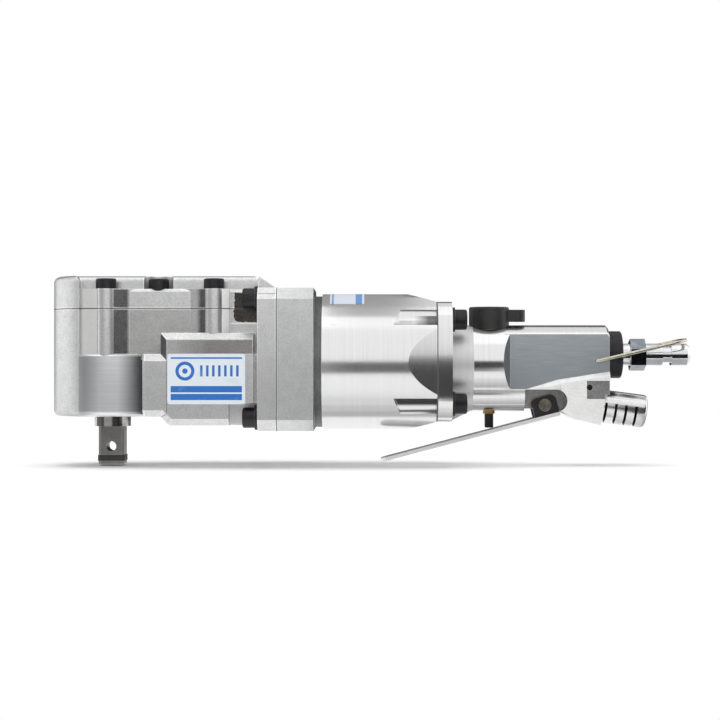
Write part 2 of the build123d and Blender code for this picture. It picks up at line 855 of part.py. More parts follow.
def hammer(bottom, pivot_side):
    """A ring round the anvil that swings on one pin and is stopped by a slot at the other."""
    travel = 2 * hammer_pin_out * math.sin(math.radians(hammer_swing))
    slot_height = 2 * (hammer_pin_radius + hole_gap)
    top = bottom + hammer_height
    ring = Circle(hammer_outside) - Circle(hammer_inside)
    ring -= Pos(0, pivot_side * hammer_pin_out) * Circle(hammer_pin_radius + running_gap)
    ring -= Pos(0, -pivot_side * hammer_pin_out) * SlotCenterToCenter(2 * travel, slot_height)
    middle = 90 - 90 * pivot_side
    root = hammer_inside + hammer_pin_radius / 2
    jaw = sector(hammer_jaw_inside, root, hammer_jaw_angle, middle, bottom, top)
    return raised(ring, bottom, top) + jaw


def bearing_at(x, bottom):
    bearing = ball_bearing(shaft_end_radius + running_gap, bearing_outer_radius, bearing_width)
    return Pos(x, 0, bottom) * bearing


# Gear train
def hammer_gear():
    return Pos(0, 0, gear_bottom) * spur_gear(hammer_teeth, shaft_seat_radius + seat_gap, 0)


def idler_phase():
    """Turn of the idler that puts its tooth between two teeth of the hammer gear."""
    return mesh_phase(idler_teeth, hammer_teeth, 0)


def idler_gear():
    return Pos(idler_x, 0, gear_bottom) * spur_gear(idler_teeth, idler_bush_radius + seat_gap, idler_phase())


def drive_gear():
    phase = mesh_phase(drive_teeth, idler_teeth, idler_phase())
    return Pos(shaft_x, 0, gear_bottom) * spur_gear(drive_teeth, shaft_seat_radius + seat_gap, phase)


def idler_bush():
    bottom = gear_floor + end_gap
    top = cover_bottom - end_gap
    bush = upright(idler_bush_radius, bottom, top, idler_x)
    return bush - upright(idler_pin_radius + running_gap, bottom, top, idler_x)


def idler_pin():
    return upright(idler_pin_radius, gear_floor - idler_pin_depth, bearing_top, idler_x)


def gear_shaft():
    collar_bottom = motor_axis_height - bevel_toe
    steps = [
        (shaft_end_radius, lower_bearing_bottom + end_gap, lower_bearing_top + end_gap),
        (shaft_seat_radius, lower_bearing_top + end_gap, collar_bottom),
        (shaft_collar_radius, collar_bottom, gear_bottom),
        (shaft_seat_radius, gear_bottom, gear_top),
        (shaft_end_radius, gear_top, bearing_top),
    ]
    shaft = Part()
    for radius, bottom, top in steps:
        shaft += upright(radius, bottom, top, shaft_x)
    return shaft


def bevel_gear():
    heel = motor_axis_height - bevel_heel
    hub_bottom = lower_bearing_top + 2 * end_gap
    wheel = Pos(shaft_x, 0, motor_axis_height) * Rot(180, 0, 0) * bevel_wheel(bevel_teeth, pinion_teeth, 0)
    wheel += upright(bevel_hub_radius, hub_bottom, heel, shaft_x)
    return wheel - upright(shaft_seat_radius + seat_gap, hub_bottom, motor_axis_height, shaft_x)


def bevel_pinion():
    heel = shaft_x + pinion_heel
    hub_right = pinion_bearing_left - end_gap
    wheel = bevel_wheel(pinion_teeth, bevel_teeth, math.pi / pinion_teeth)
    wheel = Pos(shaft_x, 0, motor_axis_height) * Rot(0, 90, 0) * wheel
    wheel += lying(pinion_hub_radius, heel, hub_right)
    return wheel - lying(pinion_bore + seat_gap, shaft_x, hub_right)


# Air motor
def motor_bearing(left):
    bearing = ball_bearing(motor_shaft_radius + running_gap, motor_bearing_outer, bearing_width)
    return Pos(left, 0, motor_axis_height) * Rot(0, 90, 0) * bearing


def motor_gasket():
    sheet = housing_flange(flange_right, housing_front) - lying(housing_bore, flange_right, housing_front)
    for y, z in case_bolt_places:
        sheet -= lying(bolt_radius + hole_gap, flange_right, housing_front, y, z)
    return sheet


def bolt_troughs():
    """Four channels along the rear of the housing, with their front ends cut aslant."""
    trough = lying(trough_radius, trough_start - trough_radius, housing_rear, 0, trough_out)
    size = 4 * trough_radius
    front = Box(size, size, size, align=(Align.MAX, Align.CENTER, Align.CENTER))
    trough -= Pos(trough_start, 0, trough_out) * Rot(0, 0, -trough_slant) * front
    trough = Pos(0, 0, motor_axis_height) * Rot(trough_turn, 0, 0) * trough
    pair = trough + mirror(trough, about=Plane.XZ)
    return pair + mirror(pair, about=Plane.XY.offset(motor_axis_height))


def motor_housing():
    body = housing_flange(housing_front, front_flange_right)
    body += lying(housing_radius - groove_depth, front_flange_right, housing_groove_right)
    body += lying(housing_radius, housing_groove_right, housing_rear)
    above = 2 * housing_radius
    wedge = side_profile(
        [
            (rear_flat_start, housing_radius),
            (housing_rear, rear_flat_half),
            (housing_rear, above),
            (rear_flat_start, above),
        ],
        housing_radius,
    )
    for turn in (0, 90, 180, 270):
        body -= Pos(0, 0, motor_axis_height) * Rot(turn, 0, 0) * wedge
    body -= bolt_troughs()
    body -= lying(housing_bore, housing_front, rear_plate_right)
    body -= lying(rear_opening_radius, rear_plate_right, housing_rear)
    thread = bolt_radius + thread_gap
    for y, z in case_bolt_places:
        body -= lying(thread, housing_front, housing_front + case_bolt_depth + end_gap, y, z)
    for y, z in handle_bolt_places:
        body -= lying(thread, housing_rear - handle_bolt_depth - end_gap, housing_rear, y, z)
    return body


def liner_pin_hole(left, right, gap):
    middle = (housing_bore + liner_bore) / 2
    return lying(liner_pin_radius + gap, left, right, 0, motor_axis_height - middle + liner_shift / 2)


def cylinder_liner():
    liner = lying(housing_bore - seat_gap, liner_left, liner_right)
    liner -= lying(liner_bore, liner_left, liner_right, 0, motor_axis_height + liner_shift)
    pitch = (liner_right - liner_left) / (port_count + 1)
    for port in range(port_count):
        x = liner_left + pitch * (port + 1)
        liner -= crosswise(port_radius, -housing_bore, housing_bore, x, motor_axis_height)
    return liner - liner_pin_hole(liner_left, liner_left + liner_pin_depth, seat_gap)


def end_plate(left, right, pocket_left):
    plate = lying(housing_bore - seat_gap, left, right)
    plate -= lying(motor_bearing_outer + seat_gap, pocket_left, pocket_left + bearing_width)
    return plate - lying(motor_shaft_radius + hole_gap, left, right)


def front_end_plate():
    plate = end_plate(front_plate_left, liner_left, front_plate_left)
    return plate - liner_pin_hole(liner_left - liner_pin_depth, liner_left, seat_gap)


def rear_end_plate():
    return end_plate(liner_right, rear_plate_right, rear_plate_right - bearing_width)


def liner_pin():
    return liner_pin_hole(liner_left - liner_pin_depth, liner_left + liner_pin_depth, 0)


def rotor():
    body = lying(rotor_radius, rotor_left, rotor_right)
    body += lying(motor_shaft_radius, pinion_bearing_left, rear_plate_right - end_gap)
    body += lying(pinion_bore, shaft_x + pinion_toe, pinion_bearing_left)
    slot_bottom = rotor_radius - vane_sink - vane_depth - hole_gap
    slot = block(rotor_left, rotor_right, vane_thickness / 2 + thread_gap, slot_bottom, 2 * rotor_radius)
    for vane in range(vane_count):
        body -= Pos(0, 0, motor_axis_height) * Rot(360 / vane_count * vane, 0, 0) * slot
    return body


def vanes():
    top = rotor_radius - vane_sink
    vane = block(rotor_left, rotor_right, vane_thickness / 2, top - vane_depth, top)
    turns = [360 / vane_count * number for number in range(vane_count)]
    return [Pos(0, 0, motor_axis_height) * Rot(turn, 0, 0) * vane for turn in turns]


# Handle casting
def grip_barrel():
    """The round neck and grip, with a flat milled on each side that ends in a slope."""
    barrel = lying(neck_radius, handle_front, handle_end)
    barrel = chamfer(barrel.edges().group_by(Axis.X)[-1], handle_edge)
    outside = 2 * neck_radius
    corners = [
        (flat_start + flat_slope, flat_half),
        (flat_start, neck_radius),
        (flat_start, outside),
        (handle_end, outside),
        (handle_end, flat_half),
    ]
    for side in (-1, 1):
        plan = Polygon(*[(x, side * y) for x, y in corners][::side], align=None)
        barrel -= raised(plan, motor_axis_height - outside, motor_axis_height + outside)
    return barrel


def lever_recess():
    """The rounded recess on both sides of the lever's lug."""
    corner = (recess_end - recess_corner, recess_top)
    line = Polyline((tail_foot_x, tail_foot), (tail_foot_x, 0), (boss_end, 0), (boss_end, recess_top), corner)
    line += ThreePointArc(corner, (recess_end, recess_middle), (tail_foot_x, tail_foot))
    face = Plane.XZ * make_face(line)
    return extrude(face, amount=2 * neck_radius, both=True) - block(0, handle_end, lug_half, 0, grip_roof)


def tail():
    """The lower rear body that holds the exhaust."""
    points = [
        (boss_end, recess_top),
        (tail_rise_x, tail_rise),
        (handle_end, tail_top),
        (handle_end, tail_bottom + tail_edge),
        (tail_bottom_x, tail_bottom),
        (tail_slope_x, tail_slope),
        (tail_foot_x, tail_foot),
        (tail_foot_x, recess_top),
    ]
    body = side_profile(points, tail_half)
    rims = body.faces().filter_by(Axis.Y).edges() - body.edges().filter_by(Axis.Z)
    return chamfer(rims, tail_edge)


def lever_lug():
    """The web between the boss and the tail, with a round lug for the lever's pin."""
    lug = block(boss_end, tail_foot_x, lug_half, lug_floor, recess_top + lug_half)
    lug += crosswise(lug_radius, -lug_half, lug_half, pivot_x, pivot_height)
    return lug - crosswise(lever_pin_radius + seat_gap, -lug_half, lug_half, pivot_x, pivot_height)


def exhaust_axis(back):
    """The tilted axis of the exhaust deflector, that far back inside the handle."""
    return Pos(handle_end, 0, deflector_height) * Rot(0, 90 + deflector_angle, 0) * Pos(0, 0, -back)


def exhaust_seat():
    """The cut at the tail's end that makes it square to the exhaust deflector."""
    size = 4 * deflector_radius
    cut = Box(size, size, size, align=(Align.MIN, Align.CENTER, Align.MIN))
    return exhaust_axis(deflector_seat) * Pos(-deflector_ledge, 0, 0) * cut


def handle_bores():
    seat = knob_bottom - hole_gap
    bores = upright(knob_radius + end_gap, seat, knob_top, valve_x)
    bores += upright(reverse_bush_radius + seat_gap, reverse_bottom, seat, valve_x)
    bores += upright(throttle_bore, throttle_bush_top, throttle_bore_top, valve_x)
    bores += upright(throttle_bush_radius + seat_gap, 0, throttle_bush_top, valve_x)
    bores += lying(inlet_bore, valve_x + feed_reach, handle_end, 0, inlet_height)
    thread_start = handle_end - inlet_thread_length
    bores += lying(inlet_thread_radius + thread_gap, thread_start, handle_end, 0, inlet_height)
    bores += lying(feed_radius, housing_rear - handle_spigot_length, valve_x, 0, feed_height)
    rise = inlet_height - feed_start
    slope = math.degrees(math.atan2(feed_reach, rise))
    feed = Cylinder(feed_radius, math.hypot(rise, feed_reach), align=BASE)
    bores += Pos(valve_x, 0, feed_start) * Rot(0, slope, 0) * feed
    exhaust = Cylinder(deflector_radius + seat_gap, 2 * deflector_sink, align=BASE)
    bores += exhaust_axis(deflector_sink) * exhaust
    for y, z in handle_bolt_places:
        bores += lying(bolt_radius + hole_gap, handle_front, handle_flange_right, y, z)
    return bores


def handle():
    body = handle_flange(handle_front, handle_flange_right)
    body += lying(rear_opening_radius - seat_gap, housing_rear - handle_spigot_length, handle_front)
    body += grip_barrel()
    body += tail()
    body += lying(boss_radius, handle_front, boss_end, 0, boss_axis_height)
    web_foot = motor_axis_height - handle_flange_half + seat_gap
    web_points = [
        (handle_front, motor_axis_height),
        (handle_front, web_foot),
        (handle_flange_right, web_foot),
        (web_end, boss_axis_height - boss_radius),
        (web_end, motor_axis_height),
    ]
    body += side_profile(web_points, web_half)
    body -= lever_recess()
    body += lever_lug()
    body -= exhaust_seat()
    body -= handle_bores()
    wire_hole = bail_wire + thread_gap
    for side in (-1, 1):
        ends = sorted((side * (flat_half - bail_hole_depth), side * flat_half))
        body -= crosswise(wire_hole, *ends, bail_x, bail_height)
    body -= tail_screw_pocket()
    screw_hole = tail_screw_radius + thread_gap
    body -= crosswise(screw_hole, -tail_half, tail_screw_end, tail_screw_x, tail_screw_height)
    return body


def tail_screw_pocket():
    pocket = block(tail_pocket_left, handle_end, tail_half, tail_pocket_bottom, tail_pocket_top)
    behind = block(tail_pocket_left, handle_end, tail_half, 0, grip_roof)
    return pocket - Pos(0, tail_pocket_depth, 0) * behind


def tail_screw():
    """Grub screw with a hexagon socket in the side of the tail."""
    screw = crosswise(tail_screw_radius, tail_screw_head, tail_screw_end, tail_screw_x, tail_screw_height)
    socket = extrude(RegularPolygon(tail_screw_radius / 2, 6), amount=tail_screw_length / 3)
    return screw - Pos(tail_screw_x, tail_screw_head, tail_screw_height) * Rot(-90, 0, 0) * socket


def handle_gasket():
    sheet = handle_flange(housing_rear, handle_front)
    sheet -= lying(rear_opening_radius, housing_rear, handle_front)
    for y, z in handle_bolt_places:
        sheet -= lying(bolt_radius + hole_gap, housing_rear, handle_front, y, z)
    return sheet


def handle_bolts():
    seat = handle_flange_right + washer_thickness
    length = seat - housing_rear + handle_bolt_depth
    bolt = cap_screw(bolt_radius, bolt_head_radius, bolt_head_height, length, bolt_socket)
    return [Pos(seat, y, z) * Rot(0, 90, 0) * bolt for y, z in handle_bolt_places]


# Valves, lever and fittings
def reverse_knob():
    knob = upright(knob_radius, knob_bottom, knob_top)
    knob = fillet(knob.edges().group_by(Axis.Z)[-1], handle_edge)
    tab_length = knob_tab_reach - knob_tab_half
    tab = raised(slab(0, tab_length, knob_tab_half), knob_tab_bottom, knob_tab_top)
    tab += upright(knob_tab_half, knob_tab_bottom, knob_tab_top, tab_length)
    return Pos(valve_x, 0, 0) * (knob + tab)


def reverse_port_hole():
    """Air passage through the reverse valve and its bush."""
    reach = reverse_bush_radius + reverse_port
    return lying(reverse_port, valve_x - reach, valve_x + reach, 0, feed_height)


def reverse_valve():
    valve = upright(reverse_radius, reverse_bottom + end_gap, knob_bottom, valve_x)
    return valve - reverse_port_hole()


def reverse_bush():
    top = knob_bottom - hole_gap
    bush = upright(reverse_bush_radius, reverse_bottom, top, valve_x)
    bush -= upright(reverse_radius + running_gap, reverse_bottom, top, valve_x)
    return bush - reverse_port_hole()


def throttle_plunger():
    plunger = upright(plunger_radius, plunger_bottom, throttle_valve_bottom, valve_x)
    return fillet(plunger.edges().group_by(Axis.Z)[0], plunger_radius / 4)


def throttle_bush():
    bush = upright(throttle_bush_radius, throttle_bush_bottom, throttle_bush_top, valve_x)
    return bush - upright(plunger_radius + running_gap, throttle_bush_bottom, throttle_bush_top, valve_x)


def throttle_valve():
    top = throttle_valve_bottom + throttle_valve_height
    valve = upright(throttle_valve_radius, throttle_valve_bottom, top, valve_x)
    return chamfer(valve.edges().group_by(Axis.Z)[0], throttle_valve_height / 3)


def throttle_spring():
    """A coil between the throttle valve and the roof of its bore."""
    bottom = throttle_valve_bottom + throttle_valve_height + spring_wire
    height = throttle_bore_top - spring_wire - bottom
    path = Helix(height / spring_turns, height, spring_radius)
    wire = sweep(Plane(origin=path @ 0, z_dir=path % 0) * Circle(spring_wire), path=path)
    return Pos(valve_x, 0, bottom) * wire


def throttle_lever():
    """Sheet steel lever with two ears on the pivot pin."""
    top = -lever_drop
    bottom = top - lever_thickness
    plate = block(-lever_reach, lever_tail, lever_half, bottom, top)
    plate = fillet(plate.edges().filter_by(Axis.Z).group_by(Axis.X)[0], lever_corner)
    inner = lug_half + hole_gap
    outer = inner + lever_ear_thickness
    ears = block(-lever_ear_half, lever_ear_half, outer, bottom, lever_ear_rise)
    ears = fillet(ears.edges().filter_by(Axis.Y).group_by(Axis.Z)[-1], lever_ear_corner)
    ears -= block(-lever_reach, lever_reach, inner, top, lever_ear_rise)
    lever = plate + ears - crosswise(lever_pin_radius + running_gap, -outer, outer, 0, 0)
    return Pos(pivot_x, 0, pivot_height) * Rot(0, -lever_angle, 0) * lever


def lever_pin():
    reach = lug_half + 2 * hole_gap + lever_ear_thickness
    head = reach + lever_pin_head_length
    pin = crosswise(lever_pin_radius, -head, head, pivot_x, pivot_height)
    for near, far in ((-head, -reach), (reach, head)):
        pin += crosswise(lever_pin_head, near, far, pivot_x, pivot_height)
    return pin


def inlet_bush():
    right = handle_end + inlet_bush_length
    bush = lying(inlet_bush_radius, handle_end, right, 0, inlet_height)
    bush = chamfer(bush.edges().group_by(Axis.X)[-1], handle_edge / 2)
    bush += lying(inlet_thread_radius, handle_end - inlet_thread_length, handle_end, 0, inlet_height)
    thread_start = handle_end - inlet_thread_length
    return bush - lying(plug_thread_radius + thread_gap, thread_start, right, 0, inlet_height)


def inlet_screen():
    right = handle_end - inlet_thread_length
    disc = lying(inlet_bore - seat_gap, right - screen_thickness, right, 0, inlet_height)
    steps = range(-screen_rows, screen_rows + 1)
    for row in steps:
        for column in steps:
            z = inlet_height + column * screen_pitch
            disc -= lying(screen_hole, right - screen_thickness, right, row * screen_pitch, z)
    return disc


def air_plug():
    """Quick release plug with its wrench hexagon and thread."""
    stub_left = handle_end + inlet_bush_length
    hex_left = stub_left + plug_stub_length
    hex_right = hex_left + plug_hex_length
    right = hex_right + plug_length
    hexagon = RegularPolygon(plug_hex / 2, 6, major_radius=False, rotation=plug_hex_turn)
    plug = extrude(Plane.YZ.offset(hex_left) * Pos(0, inlet_height) * hexagon, amount=plug_hex_length)
    plug += lying(plug_thread_radius, stub_left - plug_thread_length, stub_left, 0, inlet_height)
    plug += lying(plug_radius, stub_left, hex_left, 0, inlet_height)
    nose = lying(plug_radius, hex_right, right, 0, inlet_height)
    nose = chamfer(nose.edges().group_by(Axis.X)[-1], plug_radius - plug_groove_radius)
    groove_left = hex_right + plug_groove_start
    groove_right = groove_left + plug_groove_length
    nose -= lying(2 * plug_radius, groove_left, groove_right, 0, inlet_height)
    nose += lying(plug_groove_radius, groove_left, groove_right, 0, inlet_height)
    plug += nose
    return plug - lying(plug_bore, stub_left - plug_thread_length, right, 0, inlet_height)


def hanger_bail():
    """Wire hoop, hinged in the two sides of the handle."""
    inside = flat_half - bail_hole_depth + hole_gap
    points = [
        (0, -inside),
        (0, -bail_half),
        (bail_reach, -bail_half),
        (bail_reach, bail_half),
        (0, bail_half),
        (0, inside),
    ]
    path = FilletPolyline(*points, radius=[bail_bend, bail_corner, bail_corner, bail_bend])
    wire = sweep(Plane(origin=path @ 0, z_dir=path % 0) * Circle(bail_wire), path=path)
    return Pos(bail_x, 0, bail_height) * Rot(0, -bail_angle, 0) * wire


def exhaust_deflector():
    """Ribbed exhaust tube, tilted down away from the hand."""
    length = deflector_sink + deflector_length
    tube = Cylinder(deflector_radius, length, align=BASE)
    tube = fillet(tube.edges().group_by(Axis.Z)[-1], deflector_groove_depth)
    groove = Cylinder(2 * deflector_radius, deflector_groove, align=BASE)
    groove -= Cylinder(deflector_radius - deflector_groove_depth, deflector_groove, align=BASE)
    size = 4 * deflector_radius
    smooth_top = Box(size, size, size, align=(Align.MAX, Align.CENTER, Align.CENTER))
    groove -= Pos(-deflector_smooth, 0, 0) * smooth_top
    for number in range(deflector_grooves):
        place = Pos(0, 0, deflector_sink - deflector_seat + deflector_first + number * deflector_pitch)
        tube -= place * groove
    tube -= Cylinder(deflector_bore, length, align=BASE)
    return exhaust_axis(deflector_sink) * tube


# Every node and the function that makes it
nodes = {
    "gear_case": gear_case(),
    "gear_case_cover": gear_case_cover(),
    "case_plate": case_plate(),
    "cover_gasket": cover_gasket(),
    "cover_screws": cover_screws(),
    "case_bolts": case_bolts(),
    "case_washers": washers(flange_left - washer_thickness, case_bolt_places),
    "anvil": anvil(),
    "socket_ring": socket_ring(),
    "anvil_bush": anvil_bush(),
    "anvil_seal": anvil_seal(),
    "hammer_cage": hammer_cage(),
    "hammer_pins": hammer_pins(),
    "lower_hammer": hammer(lower_hammer_bottom, 1),
    "upper_hammer": hammer(upper_hammer_bottom, -1),
    "hammer_gear": hammer_gear(),
    "hammer_bearing": bearing_at(0, bearing_bottom),
    "idler_pin": idler_pin(),
    "idler_gear": idler_gear(),
    "idler_bush": idler_bush(),
    "gear_shaft": gear_shaft(),
    "drive_gear": drive_gear(),
    "bevel_gear": bevel_gear(),
    "shaft_lower_bearing": bearing_at(shaft_x, lower_bearing_bottom),
    "shaft_upper_bearing": bearing_at(shaft_x, bearing_bottom),
    "bevel_pinion": bevel_pinion(),
    "pinion_bearing": motor_bearing(pinion_bearing_left),
    "motor_gasket": motor_gasket(),
    "motor_housing": motor_housing(),
    "cylinder_liner": cylinder_liner(),
    "liner_pin": liner_pin(),
    "front_end_plate": front_end_plate(),
    "rear_end_plate": rear_end_plate(),
    "front_motor_bearing": motor_bearing(front_plate_left),
    "rear_motor_bearing": motor_bearing(rear_plate_right - bearing_width),
    "rotor": rotor(),
    "vanes": vanes(),
    "handle_gasket": handle_gasket(),
    "handle": handle(),
    "handle_bolts": handle_bolts(),
    "handle_washers": washers(handle_flange_right, handle_bolt_places),
    "reverse_knob": reverse_knob(),
    "reverse_valve": reverse_valve(),
    "reverse_bush": reverse_bush(),
    "throttle_lever": throttle_lever(),
    "lever_pin": lever_pin(),
    "throttle_plunger": throttle_plunger(),
    "throttle_bush": throttle_bush(),
    "throttle_valve": throttle_valve(),
    "throttle_spring": throttle_spring(),
    "inlet_bush": inlet_bush(),
    "inlet_screen": inlet_screen(),
    "air_plug": air_plug(),
    "hanger_bail": hanger_bail(),
    "exhaust_deflector": exhaust_deflector(),
    "tail_screw": tail_screw(),
}

os.makedirs("parts", exist_ok=True)
for name, shape in nodes.items():
    solids = shape if isinstance(shape, list) else shape.solids()
    whole = solids[0] if len(solids) == 1 else Compound(children=[Part() + solid for solid in solids])
    export_step(whole, f"parts/{name}.step")
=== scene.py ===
import bpy
import bmesh
import math
from mathutils import Matrix, Vector


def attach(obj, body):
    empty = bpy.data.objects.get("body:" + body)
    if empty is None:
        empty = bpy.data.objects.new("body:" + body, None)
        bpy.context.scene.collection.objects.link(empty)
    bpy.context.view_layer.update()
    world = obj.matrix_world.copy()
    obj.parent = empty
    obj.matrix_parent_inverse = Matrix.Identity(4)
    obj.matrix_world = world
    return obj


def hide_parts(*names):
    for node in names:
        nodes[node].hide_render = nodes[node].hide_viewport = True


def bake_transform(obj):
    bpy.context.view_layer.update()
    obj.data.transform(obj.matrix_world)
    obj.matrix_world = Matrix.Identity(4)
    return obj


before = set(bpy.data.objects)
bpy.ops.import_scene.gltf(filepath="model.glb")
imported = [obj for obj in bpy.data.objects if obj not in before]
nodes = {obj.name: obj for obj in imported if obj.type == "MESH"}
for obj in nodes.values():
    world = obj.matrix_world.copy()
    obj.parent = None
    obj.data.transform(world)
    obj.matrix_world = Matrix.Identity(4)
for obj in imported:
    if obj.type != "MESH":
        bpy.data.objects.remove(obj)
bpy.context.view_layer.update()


# Gear case and its cover: two sand castings in aluminium, blasted to a fine grain, with rubbed corners.
# The nose is turned afterwards and carries a painted highlight between painted shade. Painted shade darkens
# the columns' deep flanks, the block's front bevel, the wall between the columns and the block face above
# the plate. Painted light makes the sunk strip, one flank and the lower bolt pockets pale and chalky, and
# a painted shadow lies under the upper bolts.
cast_tone = (0.70, 0.70, 0.695, 1.0)
cast_shade = (0.52, 0.525, 0.53, 1.0)
cast_bright = (0.95, 0.95, 0.94, 1.0)
turned_tone = (0.84, 0.855, 0.87, 1.0)
turned_shade = (0.68, 0.695, 0.71, 1.0)
nose_left_painted_shade = (0.44, 0.45, 0.465, 1.0)
nose_right_painted_shade = (0.12, 0.125, 0.13, 1.0)
painted_light_tone = (0.95, 0.95, 0.94, 1.0)
painted_light_low = (0.87, 0.87, 0.86, 1.0)
wall_shade_tone = (0.34, 0.33, 0.325, 1.0)
wall_shade_low = (0.25, 0.245, 0.24, 1.0)
painted_shade_tone = (0.185, 0.183, 0.185, 1.0)
painted_shade_low = (0.095, 0.094, 0.096, 1.0)
bolt_shadow_tone = (0.095, 0.085, 0.078, 1.0)
bolt_shadow_low = (0.045, 0.040, 0.037, 1.0)
cast_rough, cast_smooth = 0.44, 0.34
turned_rough, painted_light_rough, rubbed_rough = 0.32, 0.75, 0.26
painted_light_metal = 0.15


def start_material(name):
    """A new material, with its node tree and its shader."""
    material = bpy.data.materials.new(name)
    material.use_nodes = True
    tree = material.node_tree
    return material, tree, tree.nodes["Principled BSDF"]


def feed(tree, socket, value):
    """Links a socket to another one, or sets it to a plain value."""
    if isinstance(value, bpy.types.NodeSocket):
        tree.links.new(value, socket)
    else:
        socket.default_value = value


def calculate(tree, operation, *values):
    """One Math node, with its result clamped where the name ends in a plus sign."""
    node = tree.nodes.new("ShaderNodeMath")
    node.operation = operation.rstrip("+")
    node.use_clamp = operation.endswith("+")
    for socket, value in zip(node.inputs, values):
        feed(tree, socket, value)
    return node.outputs["Value"]


def blend_colours(tree, share, first, second):
    """One colour at share 0 and the other at share 1."""
    node = tree.nodes.new("ShaderNodeMix")
    node.data_type = "RGBA"
    ends = {socket.identifier: socket for socket in [*node.inputs, *node.outputs]}
    feed(tree, ends["Factor_Float"], share)
    feed(tree, ends["A_Color"], first)
    feed(tree, ends["B_Color"], second)
    return ends["Result_Color"]


def blend_values(tree, share, first, second):
    """One number at share 0 and the other at share 1."""
    node = tree.nodes.new("ShaderNodeMix")
    feed(tree, node.inputs["Factor"], share)
    feed(tree, node.inputs["A"], first)
    feed(tree, node.inputs["B"], second)
    return node.outputs["Result"]


def own_place(tree):
    """The piece's own coordinates, in metres."""
    return tree.nodes.new("ShaderNodeTexCoord").outputs["Object"]


def split_place(tree):
    """X, Y and Z of the piece's own coordinates."""
    node = tree.nodes.new("ShaderNodeSeparateXYZ")
    feed(tree, node.inputs["Vector"], own_place(tree))
    return node.outputs


def noise(tree, place, scale, detail=2.0):
    """A cloudy pattern from 0 to 1."""
    node = tree.nodes.new("ShaderNodeTexNoise")
    feed(tree, node.inputs["Vector"], place)
    feed(tree, node.inputs["Scale"], scale)
    node.inputs["Detail"].default_value = detail
    return node.outputs["Fac"]


def sharpen(tree, value, gain, offset):
    """A value spread by a gain and an offset, and cut off at 0 and 1."""
    return calculate(tree, "MULTIPLY_ADD+", value, gain, offset)


def bump(tree, height, depth, strength=1.0):
    """Surface relief; depth is the real height in metres of a height of 1."""
    node = tree.nodes.new("ShaderNodeBump")
    node.inputs["Strength"].default_value = strength
    node.inputs["Distance"].default_value = depth
    feed(tree, node.inputs["Height"], height)
    return node.outputs["Normal"]


def over(tree, value, low):
    """1 where a value is higher than a limit, else 0."""
    return calculate(tree, "GREATER_THAN", value, low)


def under(tree, value, high):
    """1 where a value is lower than a limit, else 0."""
    return calculate(tree, "LESS_THAN", value, high)


def overlap(tree, mask, *others):
    """What several masks cover together."""
    for other in others:
        mask = calculate(tree, "MULTIPLY", mask, other)
    return mask


def between(tree, value, low, high):
    """1 where a value lies between two limits, else 0."""
    return overlap(tree, over(tree, value, low), under(tree, value, high))


def close_to(tree, value, target, slack):
    """1 where two values differ by less than the slack, else 0."""
    gap = calculate(tree, "ABSOLUTE", calculate(tree, "SUBTRACT", value, target))
    return under(tree, gap, slack)


def fade(tree, value, clear, full):
    """0 where a value has reached one place and 1 where it has reached the other."""
    node = tree.nodes.new("ShaderNodeMapRange")
    feed(tree, node.inputs["Value"], value)
    node.inputs["From Min"].default_value = clear
    node.inputs["From Max"].default_value = full
    return node.outputs["Result"]


def distance(tree, first, second):
    """How far two steps at right angles lead."""
    square = calculate(tree, "MULTIPLY", second, second)
    return calculate(tree, "SQRT", calculate(tree, "MULTIPLY_ADD", first, first, square))


def start_group(name, inputs, outputs):
    """A shader node group with named number sockets; returns the group and its two ends."""
    group = bpy.data.node_groups.new(name, "ShaderNodeTree")
    for label, value in inputs.items():
        socket = group.interface.new_socket(label, in_out="INPUT", socket_type="NodeSocketFloat")
        socket.default_value = value
    for label in outputs:
        group.interface.new_socket(label, in_out="OUTPUT", socket_type="NodeSocketFloat")
    return group, group.nodes.new("NodeGroupInput").outputs, group.nodes.new("NodeGroupOutput").inputs


def place_group(tree, group, **values):
    """The group in a material, with its own values; returns its outputs."""
    node = tree.nodes.new("ShaderNodeGroup")
    node.node_tree = group
    for label, value in values.items():
        feed(tree, node.inputs[label], value)
    return node.outputs


def toned(tree, group, shade, tone):
    """A colour between a darker and a lighter one, by the tone of a placed group."""
    return blend_colours(tree, group["Tone"], shade, tone)


def dress(material, *names):
    """Puts a finish on CAD nodes."""
    for name in names:
        for slot in nodes[name].material_slots:
            slot.material = material


# Bright rubbed corners: where the rounded normal leaves the true one, broken up by a noise.
rub_floor = 0.3
rubbed_edges, at, out = start_group("rubbed edges", {"Width": 0.0008, "Gain": 6.0}, ["Mask"])
rounded = rubbed_edges.nodes.new("ShaderNodeBevel")
rounded.samples = 6
feed(rubbed_edges, rounded.inputs["Radius"], at["Width"])
true_normal = rubbed_edges.nodes.new("ShaderNodeNewGeometry").outputs["Normal"]
turned_by = rubbed_edges.nodes.new("ShaderNodeVectorMath")
turned_by.operation = "DOT_PRODUCT"
feed(rubbed_edges, turned_by.inputs[0], rounded.outputs["Normal"])
feed(rubbed_edges, turned_by.inputs[1], true_normal)
corner = calculate(rubbed_edges, "SUBTRACT+", 1.0, turned_by.outputs["Value"])
corner = calculate(rubbed_edges, "MULTIPLY+", corner, at["Gain"])
patchy = noise(rubbed_edges, own_place(rubbed_edges), scale=420.0, detail=3.0)
patchy = calculate(rubbed_edges, "ADD", patchy, rub_floor)
feed(rubbed_edges, out["Mask"], calculate(rubbed_edges, "MULTIPLY+", corner, patchy))

